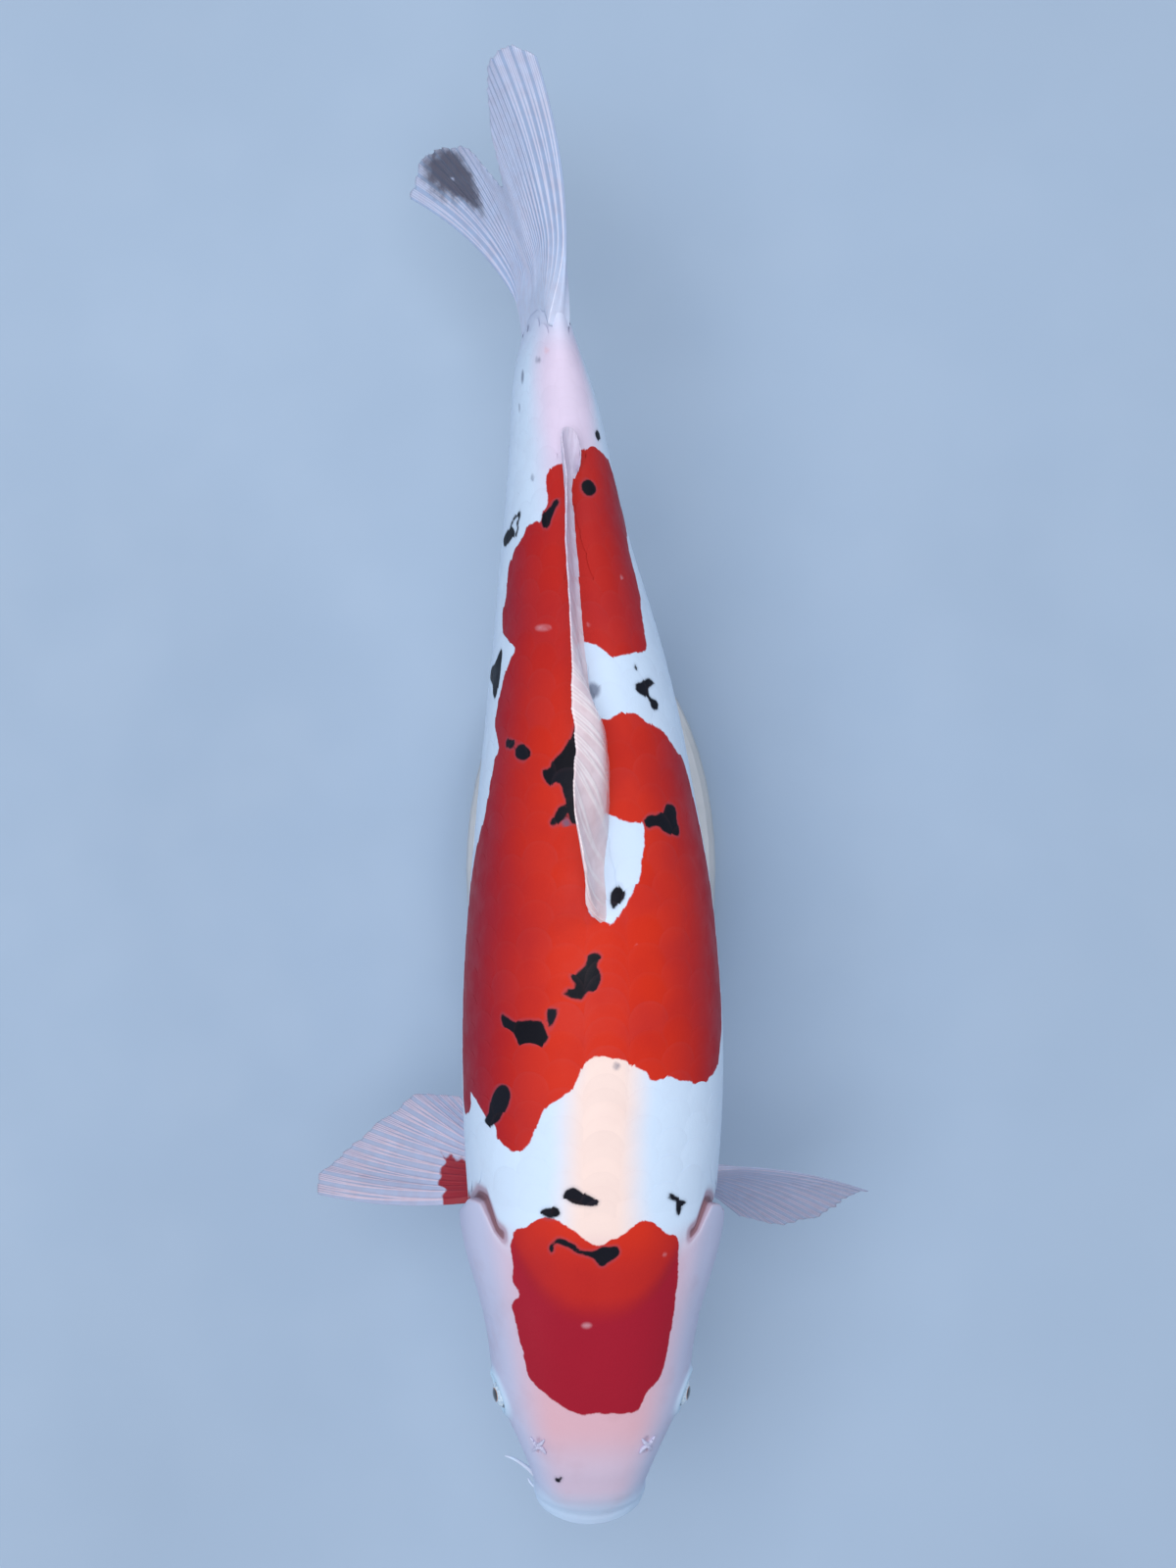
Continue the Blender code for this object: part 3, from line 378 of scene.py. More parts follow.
def pose(points):
    """Rolls and bends straight-fish points in millimetres and places them over the stand, in metres."""
    points = np.asarray(points, float)
    x, y, z = points[..., 0], points[..., 1], points[..., 2]
    turn = np.radians(roll(y))
    across, up = x * np.cos(turn) + z * np.sin(turn), z * np.cos(turn) - x * np.sin(turn)
    return np.stack([(across + bend(y)) * MM, (y - STAND_STATION) * MM, up * MM + AXIS_HEIGHT], -1)


class Body:
    """The bare surface of the body as a dense table, read by row of SECTIONS and place round it."""

    ROWS_EACH, PLACES = 100, 360  # table rows to a row of SECTIONS, and places from back to belly
    PAD = 3  # places past the back and the belly, mirrored
    LIP_ROW = 3  # row of SECTIONS from which the station only grows

    def __init__(self):
        rows = np.linspace(0, len(SECTIONS) - 1, (len(SECTIONS) - 1) * self.ROWS_EACH + 1)
        angle = np.linspace(0, math.pi, 2 * self.PLACES + 1)
        columns = (column(rows)[:, None] for column in section)
        y_back, z_back, y_belly, z_belly, width, widest, upper, lower, bow = columns
        square = np.where(np.cos(angle) > 0, upper, lower)
        across = np.abs(np.sin(angle)) ** (2 / square)
        up = np.sign(np.cos(angle)) * np.abs(np.cos(angle)) ** (2 / square)
        share = np.where(up > 0, widest + (1 - widest) * up, widest * (1 + up))
        y = y_belly + (y_back - y_belly) * share + bow * across**2
        dense = np.stack([width * across, y, z_belly + (z_back - z_belly) * share], -1)
        run = np.cumsum(np.linalg.norm(np.diff(dense, axis=1), axis=-1), axis=1)
        run = np.concatenate([np.zeros((len(rows), 1)), run], axis=1)
        even = np.linspace(0, 1, self.PLACES + 1)
        table = np.empty((len(rows), self.PLACES + 1, 3))
        for i, length in enumerate(run):
            for axis in range(3):
                table[i, :, axis] = np.interp(even, length / length[-1], dense[i, :, axis])
        widest_station = (y_belly + (y_back - y_belly) * widest + bow)[:, 0]
        flat = np.concatenate([table.reshape(len(rows), -1), widest_station[:, None], run[:, -1:]], axis=1)
        flat = self.fair(rows) @ flat
        table = flat[:, :-2].reshape(table.shape)
        mirrored = np.array([-1, 1, 1])
        back = table[:, self.PAD : 0 : -1] * mirrored
        belly = table[:, -2 : -2 - self.PAD : -1] * mirrored
        self.table = np.concatenate([back, table, belly], axis=1)
        normal = np.cross(np.gradient(self.table, axis=1), np.gradient(self.table, axis=0))
        self.normals = unit(normal)
        self.rows, self.stations, self.half_girths = rows, flat[:, -2], flat[:, -1]

    def fair(self, rows):
        """Weights that smooth the table along the fish: hardly at the lips, well behind the face."""
        spread = 0.03 + 0.30 * ramp(rows, 7, 10.5)
        weights = np.exp(-0.5 * ((rows[:, None] - rows) / spread[:, None]) ** 2)
        return weights / weights.sum(1, keepdims=True)

    def row(self, station):
        """The row at a station behind the lips."""
        past = self.rows >= self.LIP_ROW
        return np.interp(station, self.stations[past], self.rows[past])

    def half_girth(self, station):
        """From back to belly along the skin of one side, in mm."""
        past = self.rows >= self.LIP_ROW
        return np.interp(station, self.stations[past], self.half_girths[past])

    def at_row(self, row, place):
        """Points and outward normals at these rows and places."""
        row, place = np.broadcast_arrays(row, place)
        u = np.clip(row * self.ROWS_EACH, 0, len(self.rows) - 1.001)
        v = np.abs(place) * self.PLACES + self.PAD
        i, j = u.astype(int), v.astype(int)
        s, t = (u - i)[..., None], (v - j)[..., None]
        side = np.stack([np.where(place < 0, -1.0, 1.0), np.ones_like(u), np.ones_like(u)], -1)

        def read(table):
            near = table[i, j] * (1 - t) + table[i, j + 1] * t
            return (near * (1 - s) + (table[i + 1, j] * (1 - t) + table[i + 1, j + 1] * t) * s) * side

        return read(self.table), read(self.normals)

    def at(self, station, place):
        """Points and outward normals at these stations and places."""
        return self.at_row(self.row(station), place)


body = Body()


def outline_curve(points, steps=4):
    """A smooth closed curve through the points (Catmull-Rom)."""
    here = np.array(points, float)
    before, after, second = (np.roll(here, places, 0) for places in (1, -1, -2))
    t = (np.arange(steps) / steps)[:, None, None]
    square = (2 * before - 5 * here + 4 * after - second) * t**2
    cubic = (3 * here - before - 3 * after + second) * t**3
    curve = 0.5 * (2 * here + (after - before) * t + square + cubic)
    return curve.transpose(1, 0, 2).reshape(-1, 2)


def oval_outline(station, arc, along, across):
    """An oval marking's outline, from its middle and half its size."""
    turn = full_turn(8)
    return np.stack([station + along * np.cos(turn), arc + across * np.sin(turn)], -1)


def depth_inside(outline, at):
    """How far inside a closed outline each point lies, in mm, negative outside and at most REACH."""
    start = outline_curve(outline)
    side = np.roll(start, -1, 0) - start
    depth = np.full(len(at), -REACH)
    near = np.all((at > start.min(0) - REACH) & (at < start.max(0) + REACH), axis=1)
    index = np.flatnonzero(near)
    for block in np.array_split(index, len(index) // 4000 + 1):
        if len(block):
            from_start = at[block][:, None] - start
            share = np.clip((from_start * side).sum(-1) / (side**2).sum(-1), 0, 1)
            gap = np.linalg.norm(from_start - share[..., None] * side, axis=-1).min(1)
            level = from_start[..., 1] / np.where(side[:, 1] == 0, 1e-9, side[:, 1])
            crossed = (level >= 0) & (level < 1) & (from_start[..., 0] < level * side[:, 0])
            depth[block] = np.where(crossed.sum(1) % 2 == 1, gap, -gap)
    return np.clip(depth, -REACH, REACH)


def markings(station, arc):
    """The attributes that the skin and the scales share: depth inside red, ink, faint ink, and scars with one
    painted highlight.
    """
    at = np.stack([station.ravel(), arc.ravel()], -1)

    def deepest(outlines):
        return np.max([depth_inside(outline, at) for outline in outlines], axis=0)

    return {
        "red": deepest(RED.values()),
        "ink": deepest([*INK.values(), *(oval_outline(*spot) for spot in INK_SPOTS)]),
        "faint": deepest([oval_outline(*spot) for spot in FAINT_SPOTS]),
        "scar_and_highlight": deepest([oval_outline(*spot) for spot in SCARS_AND_HIGHLIGHT]),
    }


def gill_edge(place):
    """Station of the gill cover's rim, which ends a little further ahead on the fish's left."""
    return gill_line(np.abs(place)) - 3.5 * bell(place - 0.36, 0.07)


def gill_bed_and_shade(station, place):
    """How strongly the mauve bed of the gill opening shows behind the rim, its own mauve with painted shade
    under the flared cover.
    """
    past, side = station - gill_edge(place), np.abs(place)
    return 0.42 * bell(side - 0.37, 0.08) * ramp(past, -0.6, 0.6) * (1 - ramp(past, 3, 9))


def flare(station, place):
    """How far the gill cover stands out of the body's line here."""
    front = 84
    return GILL_FLARE * cover_share(place) * ramp(station, front, front + 0.98 * (gill_edge(place) - front))


def cover_share(place):
    """1 on the gill cover's side, 0 above and below it."""
    place = np.abs(place)
    return ramp(place, 0.17, 0.36) * (1 - ramp(place, 0.62, 0.86))


def off_path(y, z, path):
    """Distance of side-view points from a path of straight runs."""
    path = np.array(path, float)
    gaps = []
    for start, end in zip(path[:-1], path[1:]):
        side, ahead, up = end - start, y - start[0], z - start[1]
        share = np.clip((ahead * side[0] + up * side[1]) / (side @ side), 0, 1)
        gaps.append(np.hypot(ahead - share * side[0], up - share * side[1]))
    return np.min(gaps, axis=0)


def nostril_share(points, place):
    """1 inside the openings of the nostrils."""
    x = np.abs(points[..., 0]) - NOSTRIL["x"]
    y = np.abs(points[..., 1] - NOSTRIL["y"]) - NOSTRIL["gap"]
    inside = 1 - ramp(np.hypot(x, y) / NOSTRIL["radius"], 0.4, 1.3)
    return inside * (1 - ramp(np.abs(place), 0.22, 0.34))


def lobe_depth(points):
    """How far behind the curved front edge of the nape's muscles each point lies."""
    return points[..., 1] - np.minimum(95.5 + 17 * (np.abs(points[..., 0]) / 28) ** 2.6, 122)


def relief(points, station, place):
    """Features of the skin, in mm outwards, by where they are on the bare body."""
    x, y, z = points[..., 0], points[..., 1], points[..., 2]
    side = ramp(np.abs(place), 0.12, 0.3)
    top = 1 - ramp(np.abs(place), 0.22, 0.34)
    eye = np.hypot(y - EYE["y"], z - EYE["z"])
    brow, lid, socket = 1.3 * bell(eye, 14), 1.1 * bell(eye - 8.3, 1.7), 5.0 * (1 - ramp(eye, 4.8, 7.9))
    out = side * (brow + lid - socket)
    for path, depth, width in CHEEK_GROOVES:
        gap = off_path(y, z, path)
        out -= side * depth * (bell(gap, width) - 0.45 * bell(gap, 2.6 * width))
    out += 0.3 * top * bell(np.hypot(np.abs(x) - NOSTRIL["x"], y - NOSTRIL["y"]), 4.5)
    out -= 1.1 * nostril_share(points, place)
    out += 0.7 * top * ramp(lobe_depth(points), -5, 5) * (1 - ramp(y, 124, 150))  # muscles of the nape
    out -= 0.35 * top * bell(x, 5) * ramp(y, 90, 100) * (1 - ramp(y, 118, 132))  # the furrow between them
    throat = ramp(np.abs(place), 0.72, 0.82) * ramp(station, 46, 56) * (1 - ramp(station, 96, 108))
    folds = np.sin((station - gill_edge(place)) * 2 * math.pi / 7.5)
    out += 0.45 * throat * folds * (1 - ramp(np.abs(place), 0.93, 0.98))
    out -= 1.0 * bell(x, 2.2) * (z < 0) * ramp(y, 30, 40) * (1 - ramp(y, 74, 84))  # middle of the throat
    vent = np.hypot(y - VENT, x)
    out += (z < 0) * (0.9 * bell(vent - 3.2, 1.8) - 1.8 * bell(vent, 1.7))
    return out


def skin_rings():
    """The skin's rings from the mouth's pocket to the tail's root: row, place, lift and depth in the slit."""
    place = (np.arange(SKIN_COLUMNS) / SKIN_COLUMNS * 2 + 1) % 2 - 1
    place = np.roll(place, SKIN_COLUMNS // 2)
    edge = gill_edge(place)
    level = np.zeros(SKIN_COLUMNS)
    rings = [(level + row, level, level) for row in np.linspace(0, FACE_ROW, FACE_RINGS)]
    face = body.stations[FACE_ROW * body.ROWS_EACH]
    for share in np.linspace(0, 1, COVER_RINGS + 1)[1:]:
        station = face + (edge + RIM_FROM - face) * share
        rings.append((body.row(station), flare(station, place), level))
    cover = np.maximum(cover_share(place), 0.3 * ramp(np.abs(place), 0.62, 0.8))
    folded = np.clip(cover / 0.35, 0, 1)
    deep = ramp(folded, 0.3, 0.8) * (1 - 0.4 * ramp(np.abs(place), 0.46, 0.6))
    spread = np.linspace(RIM_FROM, RIM_TO, len(GILL_PROFILE) + 1)[1:]
    for (along, out, slit), even in zip(GILL_PROFILE, spread):
        station = edge + along * folded + even * (1 - folded)
        before = flare(np.minimum(station, edge), place)
        lift = np.where(out > 0.94, before * out, GILL_FLARE * cover * out)
        rings.append((body.row(station), lift, slit * deep))
    for share in np.linspace(0, 1, TRUNK_RINGS + 1)[1:]:
        station = edge + RIM_TO + (body.stations[-1] - edge - RIM_TO) * share
        rings.append((body.row(station), level, level))
    row, lift, slit = np.array(rings).transpose(1, 0, 2)
    return row, np.broadcast_to(place, row.shape), lift, slit


def mesh_piece(name, points, faces, finish, attributes, corner_uv=None, crisp=False):
    """A smooth mesh object from fish points in mm, with point attributes and the map for baking."""
    mesh = bpy.data.meshes.new(name)
    mesh.from_pydata(pose(points.reshape(-1, 3)).tolist(), [], faces)
    for key, values in attributes.items():
        data = mesh.attributes.new(key, "FLOAT", "POINT").data
        data.foreach_set("value", np.ravel(values).astype(np.float32))
    if corner_uv is not None:
        layer = mesh.uv_layers.new(name="OFBake")
        layer.uv.foreach_set("vector", corner_uv.ravel().astype(np.float32))
    mesh.shade_smooth()
    if crisp:
        mesh.set_sharp_from_angle(angle=math.radians(50))
    mesh.materials.append(finish)
    made = bpy.data.objects.new(name, mesh)
    bpy.context.scene.collection.objects.link(made)
    return made


def keep(piece, slot, *nodes):
    """Lets a finished piece ride with the fish, for the nodes it stands for; slot is not used."""
    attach(piece, "root")
    if nodes:
        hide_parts(*nodes)


def quads(rows, columns, closed=False):
    """Faces of a grid of points, wrapped round if it is closed."""
    i, j = np.meshgrid(np.arange(rows - 1), np.arange(columns if closed else columns - 1), indexing="ij")
    here, after = i * columns + j, i * columns + (j + 1) % columns
    return np.stack([here, after, after + columns, here + columns], -1).reshape(-1, 4)


def closed_rings(rows, columns):
    """Faces of rings round a shape, closed to a point at both ends. The two points come after the rings."""
    faces = quads(rows, columns, closed=True).tolist()
    last, ends = (rows - 1) * columns, rows * columns
    for j in range(columns):
        after = (j + 1) % columns
        faces.append((after, j, ends))
        faces.append((last + j, last + after, ends + 1))
    return faces


def skin_map(points):
    """How far along the map for baking each ring lies, and the map's corners: the rings, then both ends."""
    columns = points.shape[1]
    step = np.linalg.norm(np.diff(points, axis=0), axis=-1).mean(1)
    along = np.concatenate([[0], np.cumsum(step)])
    along = 0.01 + 0.98 * along / along[-1]
    uv = np.stack(np.broadcast_arrays(along[:, None], np.arange(columns + 1) / columns), -1)
    corners = np.stack([uv[:-1, :-1], uv[:-1, 1:], uv[1:, 1:], uv[1:, :-1]], 2).reshape(-1, 2)
    ends = []
    for j in range(columns):
        ends += [uv[0, j + 1], uv[0, j], (0.0, uv[0, j, 1])]
        ends += [uv[-1, j], uv[-1, j + 1], (1.0, uv[-1, j, 1])]
    return along, np.concatenate([corners, ends])


def skin(finish):
    """One skin from the lips to the tail's root, for the nodes of flesh. Returns its map by station."""
    row, place, lift, slit = skin_rings()
    points, normals = body.at_row(row, place)
    station = np.interp(row, body.rows, body.stations)
    points = points + normals * (lift + relief(points, station, place) - SKIN_DEPTH)[..., None]
    points[..., 0] *= 1 - 0.55 * ramp(station, 495, 500)  # its end narrows into the root of the tail fin
    arc = place * np.interp(row, body.rows, body.half_girths)
    off_eye = np.hypot(points[..., 1] - EYE["y"], points[..., 2] - EYE["z"])
    looks = {
        "station": station,
        "arc": arc,
        "side": np.abs(place),
        "head": head_share(station, place),
        "slit": np.maximum(slit, gill_bed_and_shade(station, place)),
        "mouth": np.clip((3 - row) / 3, 0, 1),
        "nostril": nostril_share(points, place),
        "lobe": ramp(lobe_depth(points), -6, 8),
        "orbit": ramp(np.abs(place), 0.12, 0.3) * (1 - ramp(off_eye, 8, 13)),
        "tone": np.full(row.shape, 0.5),
        **markings(station, arc),
    }
    attributes = {}
    for key, values in looks.items():
        values = values.reshape(row.shape)
        attributes[key] = np.append(values, [values[0].mean(), values[-1].mean()])
    along, corners = skin_map(points)
    ends = np.array([points[0].mean(0), points[-1].mean(0)])
    points = np.concatenate([points.reshape(-1, 3), ends])
    made = mesh_piece("koi_skin", points, closed_rings(*row.shape), finish, attributes, corners)
    covers = ["gill_cover_left", "gill_cover_right"]
    keep(made, "skin", "head", "lower_jaw", *covers, "trunk_front", "trunk_rear", "tail_stem")
    return station.mean(1)[FACE_RINGS:], along[FACE_RINGS:]


def head_share(station, place):
    """1 on the head, 0 on the body, soft on the nape."""
    past = station - gill_edge(place)
    soft = 10 * (1 - ramp(np.abs(place), 0.2, 0.3)) + 0.8
    return 1 - ramp(past, -soft, soft)


def scale_centres():
    """Station and row of every scale of one side. Rows follow the lateral line, each second one shifted."""
    stations = [FIRST_SCALE]
    while stations[-1] < LAST_SCALE:
        stations.append(stations[-1] + float(pitch_at(stations[-1])))
    stations = np.array(stations)
    found = []
    for row in range(-14, 15):
        shifted = stations + (0.5 * pitch_at(stations) if row % 2 else 0)
        for station in shifted:
            half = float(body.half_girth(station))
            arc = half * LATERAL_PLACE + row * float(row_spacing(station))
            across = np.linspace(-6, 6, 9)  # clear of the gill's rim over its whole width
            first = gill_line(np.clip((arc + across) / half, 0, 1)).max() + 11
            margin = 0.3 * row_spacing(station)
            if first < station < LAST_SCALE and margin < arc < half - margin:
                found.append((station, row))
    return found


def scale_shape():
    """One scale: its points along and across (-1 to 1), which lie under it, how near the rim, and faces."""
    spokes, shares = SCALE_SPOKES, (0.22, 0.42, 0.60, 0.76, 0.90, 1.0)
    turn = full_turn(spokes)
    square = 2 / np.where(np.cos(turn) > 0, 2.15, 2.8)
    along = np.sign(np.cos(turn)) * np.abs(np.cos(turn)) ** square
    across = np.sign(np.sin(turn)) * np.abs(np.sin(turn)) ** square
    rim = [0.0] + [share for share in shares for _ in range(spokes)] + [1.0] * spokes + [0.0]
    spots = [(0.0, 0.0)] + [(a * share, b * share) for share in shares for a, b in zip(along, across)]
    spots += list(zip(along, across)) + [(0.0, 0.0)]
    under = [0] * (1 + len(shares) * spokes) + [1] * (spokes + 1)
    faces = []
    for j in range(spokes):
        after = (j + 1) % spokes
        faces.append((0, 1 + after, 1 + j))
        for ring in range(len(shares)):
            inner, outer = 1 + ring * spokes, 1 + (ring + 1) * spokes
            faces.append((inner + j, inner + after, outer + after))
            faces.append((inner + j, outer + after, outer + j))
        low = 1 + len(shares) * spokes
        faces.append((low + j, low + after, low + spokes))
    return np.array(spots), np.array(under), np.array(rim), np.array(faces)


def scales(name, centres, side, seam, finish, skin_stations, skin_along):
    """One coat piece: closed plates on the skin, each lifted at its rear rim and tucked in at its front.

    seam is None on a side, 0 for the single row along the back and 1 for the one along the belly.
    """
    spots, under, rim, faces = scale_shape()
    rng = np.random.default_rng(len(centres))
    middle, row = np.array(centres, float).T
    pitch = pitch_at(middle)
    size = 1 + 0.05 * (rng.random(len(centres)) - 0.5)
    station = middle[:, None] + SCALE["half_length"] * (pitch * size)[:, None] * spots[:, 0]
    reach = SCALE["half_row"] * spots[:, 1]
    half = body.half_girth(station)
    if seam is None:
        arc = half * LATERAL_PLACE + (row[:, None] + reach * size[:, None]) * row_spacing(station)
    else:
        arc = seam * half + reach * row_spacing(middle)[:, None]
    place = (side * arc / half + 1) % 2 - 1
    points, normals = body.at(station, place)
    tilt = (spots[:, 0] + 1) / 2
    small = np.clip(pitch / 10.5, 0.55, 1)[:, None]
    lift = SCALE["low"] + (SCALE["high"] - SCALE["low"]) * tilt + SCALE["dome"] * (1 - spots[:, 1] ** 2)
    lift = lift - SCALE["curl"] * rim**6 - SCALE["thick"] * under + (0 if seam is None else SEAM_LIFT)
    points = points + normals * (lift * small)[..., None]
    count = len(spots)
    looks = {
        "station": station,
        "arc": place * half,
        "side": np.abs(place),
        "head": head_share(station, place),
        "slit": gill_bed_and_shade(station, place),
        "lobe": np.ones_like(station),
        "rim": np.tile(np.where(spots[:, 0] > -0.2, rim, 0), len(centres)),
        "tone": np.repeat(rng.random(len(centres)), count),
        **markings(station + 0.12 * (middle[:, None] - station), place * half),
    }
    faces = faces[:, ::-1] if side < 0 else faces
    index = (np.arange(len(centres))[:, None, None] * count + faces).reshape(-1, 3)
    root = np.stack([np.interp(middle, skin_stations, skin_along), (place[:, 0] + 1) / 2], -1)
    uv = root[:, None] + SCALE_PATCH * spots * np.where(under, 0.6, 1.0)[:, None]
    corners = np.clip(uv.reshape(-1, 2)[index.ravel()], 0, 1)
    keep(mesh_piece(name, points, index.tolist(), finish, looks, corners, crisp=True), "skin")


def fin_guides(guides, rays, per_ray):
    """Steps from end to end of a fin, with their places and guides. Its rays are even along its edge."""
    places = [guide[0] for guide in guides]
    numbers = np.array([[*root, *tip, *bow] for _, root, tip, bow in guides], float)
    curves = [smooth_curve(list(zip(places, column))) for column in numbers.T]
    span = np.linspace(0, 1, rays * per_ray + 1)
    dense = np.linspace(0, 1, 801)
    tips = np.linalg.norm(np.diff([curve(dense) for curve in curves[3:6]], axis=1), axis=0)
    even = np.concatenate([[0], np.cumsum(tips + 0.25 * tips.mean())])
    spread = np.interp(span, even / even[-1], dense)
    guide = np.stack([curve(spread) for curve in curves], -1)
    return span, spread, guide[:, :3], guide[:, 3:6], guide[:, 6:]


def ray_share(phase, run):
    """1 on a ray, 0 between two. Each lies at phase 0.5 and forks twice on its way out."""
    fork, twig = 0.17 * ramp(run, 0.22, 0.75), 0.085 * ramp(run, 0.55, 0.95)
    width = 0.13 - 0.07 * ramp(run, 0.2, 0.9)
    return np.max([bell(phase - 0.5 - a * fork - b * twig, width) for a in (-1, 1) for b in (-1, 1)], axis=0)


def sheet_pair(shape):
    """Faces of two sheets back to back with a rim between them, and how many the rim has, which come last."""
    grid = quads(*shape)
    index = np.arange(shape[0] * shape[1]).reshape(shape)
    border = np.concatenate([index[0, :-1], index[:-1, -1], index[-1, :0:-1], index[:0:-1, 0]])
    following = np.roll(border, -1)
    rim = np.stack([border, border + index.size, following + index.size, following], -1)
    return np.concatenate([grid, grid[:, ::-1] + index.size, rim]), len(rim)


def fin(
    name, nodes, guides, rays, finish, thick,
    along=56, per_ray=16, wave=0.6, pleat=0.16, clear=0.5, marks=None,
):  # fmt: skip
    """A closed fin: a thin web with raised, branching rays between its guide rays, its edge scalloped."""
    span, spread, root, tip, bow = fin_guides(guides, rays, per_ray)
    run = np.linspace(0, 1, along)[:, None] * np.ones_like(span)
    phase = span * rays % 1
    ray = ray_share(phase, run)
    ragged = 0.006 * np.sin(span * rays * 2.1) + 0.004 * np.sin(span * rays * 5.3 + 1)
    length = 1 - (0.010 + ragged) * run**6 - 0.006 * (1 - ray[-1]) * run**10
    reach = (run * length)[..., None]
    middle = root + (tip - root) * reach + bow * 4 * reach * (1 - reach)
    normal = unit(np.cross(np.gradient(middle, axis=1), np.gradient(middle, axis=0)))
    sway = wave * run**1.4 * (np.sin(span * 9 + run * 3.5) + 0.6 * np.sin(span * 23 - run * 5 + 1))
    fold = pleat * np.sin(2 * math.pi * phase) * ramp(run, 0.1, 0.5)
    middle = middle + normal * (sway + fold)[..., None]

    edge = ramp(np.minimum(span, 1 - span) * rays, 0, 0.5) * (1 - 0.75 * ramp(run, 0.96, 1))
    fleshy = (1 - ramp(run, 0.0, 0.34)) * thick / 2
    joints = 1 + 0.10 * np.cos(run * length * 2 * math.pi * RAY_JOINTS) * ramp(run, 0.15, 0.3)
    raised = 0.26 * ray * joints * (1 - 0.5 * run) * ramp(run, 0.06, 0.25)
    half = 0.13 + (0.16 + fleshy + raised) * (0.2 + 0.8 * edge)
    points = np.concatenate([(middle + out * half[..., None] * normal).reshape(-1, 3) for out in (1, -1)])
    faces, rim = sheet_pair(run.shape)

    looks = {"ray": ray, "run": run * length, "clear": np.full(run.shape, clear)}
    looks["red"] = looks["ink"] = np.full(run.shape, -REACH)
    if marks:
        looks.update(marks(middle, run * length, np.broadcast_to(spread, run.shape)))
    attributes = {key: np.concatenate([values.ravel()] * 2) for key, values in looks.items()}
    sheet = np.stack([0.02 + 0.96 * run, 0.02 + 0.46 * np.broadcast_to(span, run.shape)], -1).reshape(-1, 2)
    uv = np.concatenate([sheet, sheet + [0, 0.5]])[faces]
    uv[-rim:] = uv[-rim:, :1]
    keep(mesh_piece(name, points, faces.tolist(), finish, attributes, uv), "fin", *nodes)


def dorsal_marks(middle, run, place):
    """The see-through bulge behind the first rays, and the bluer rear."""
    veil = bell(place - 0.36, 0.16) * ramp(run, 0.03, 0.15) * (1 - ramp(run, 0.5, 0.78))
    return {"veil": veil, "cool": ramp(middle[..., 1], 322, 400)}


def pectoral_marks(middle, run, place):
    """The red patch at the root of the right pectoral fin."""
    edge = -61.0 + 1.2 * np.sin(place * 17) + 0.8 * np.sin(place * 41 + 2)
    trailing = (0.50 + 0.02 * np.sin(middle[..., 0] * 1.3) - place) * 25
    return {"red": np.clip(np.minimum(middle[..., 0] - edge, trailing), -REACH, REACH)}


def tail_marks(middle, run, place):
    """The soft black patch in the lower lobe, with a pale speck in it."""
    at = np.stack([run.ravel() * TAIL_RUN, (place.ravel() * 2 - 1) * TAIL_SPREAD], -1)
    patch = depth_inside(TAIL_PATCH, at)
    speck = depth_inside(oval_outline(66, 44, 0.9, 1.6), at)
    return {"ink": (patch - 6 * ramp(speck, -0.6, 0.6)).reshape(run.shape)}


def spokes_round(axis, start, turn):
    """Unit vectors at these angles round each axis."""
    first = unit(np.cross(axis, start))
    second = np.cross(axis, first)
    return first[..., None, :] * np.cos(turn)[:, None] + second[..., None, :] * np.sin(turn)[:, None]


def tube(path, radii, sides):
    """Points and faces of a closed tube along a path."""
    around = spokes_round(unit(np.gradient(path, axis=0)), (0.0, 0.3, 1.0), full_turn(sides))
    points = (path[:, None] + around * radii[:, None, None]).reshape(-1, 3)
    return np.concatenate([points, path[:1], path[-1:]]), closed_rings(len(path), sides)


def barbel(name, spec, finish):
    """A fleshy feeler, thick at its root, that tapers along a slightly wavy bend."""
    root, middle, tip, radius = map(np.array, spec)
    rings, sides = 40, 20
    run = np.linspace(0, 1, rings)
    share = run[:, None]
    path = root * (1 - share) ** 2 + 2 * middle * share * (1 - share) + tip * share**2
    path = path + 0.35 * np.sin(share * 8) * share * np.array([1, 0, 1])
    radii = radius * (0.98 - 0.62 * run**0.8) * np.sqrt(np.clip(1.02 - run**12, 0.02, 1))
    points, faces = tube(path, radii, sides)
    attributes = {"run": np.append(np.repeat(run, sides), [0, 1])}
    keep(mesh_piece(name + "_flesh", points, faces, finish, attributes), "skin", name)


def nostril_flaps(finish):
    """Two curved folds of skin, back to back between the two openings of each nostril."""
    turn = np.linspace(-1, 1, 25)
    points, faces = [], []
    for side in (-1, 1):
        for ahead in (-1, 1):
            across = NOSTRIL["x"] + 2.7 * turn + 0.4 * ahead
            along = NOSTRIL["y"] + ahead * (0.35 + 3.1 * np.abs(turn) ** 1.7)
            height = nose_height(across, along) + 0.1 + 0.35 * (1 - turn**2)
            path = np.stack([side * across, along, height], -1)
            fold, index = tube(path, 0.9 - 0.7 * np.abs(turn) ** 3, sides=12)
            before = sum(map(len, points))
            faces += [[corner + before for corner in face] for face in index]
            points.append(fold)
    points = np.concatenate(points)
    looks = {"station": 37.0, "head": 1.0, "side": 0.26}
    looks.update(dict.fromkeys(("red", "ink", "faint", "scar_and_highlight"), -REACH))
    attributes = {key: np.full(len(points), value) for key, value in looks.items()}
    keep(mesh_piece("nostril_flaps", points, faces, finish, attributes), "skin")


def nose_height(x, y):
    """Height of the bare snout's upper side at these places, found on a patch of the body."""
    station, place = np.meshgrid(np.linspace(26, 60, 120), np.linspace(0, 0.5, 120), indexing="ij")
    points = body.at(station, place)[0].reshape(-1, 3)
    gap = np.hypot(points[:, 0] - np.ravel(x)[:, None], points[:, 1] - np.ravel(y)[:, None])
    return points[gap.argmin(1), 2].reshape(np.shape(x))


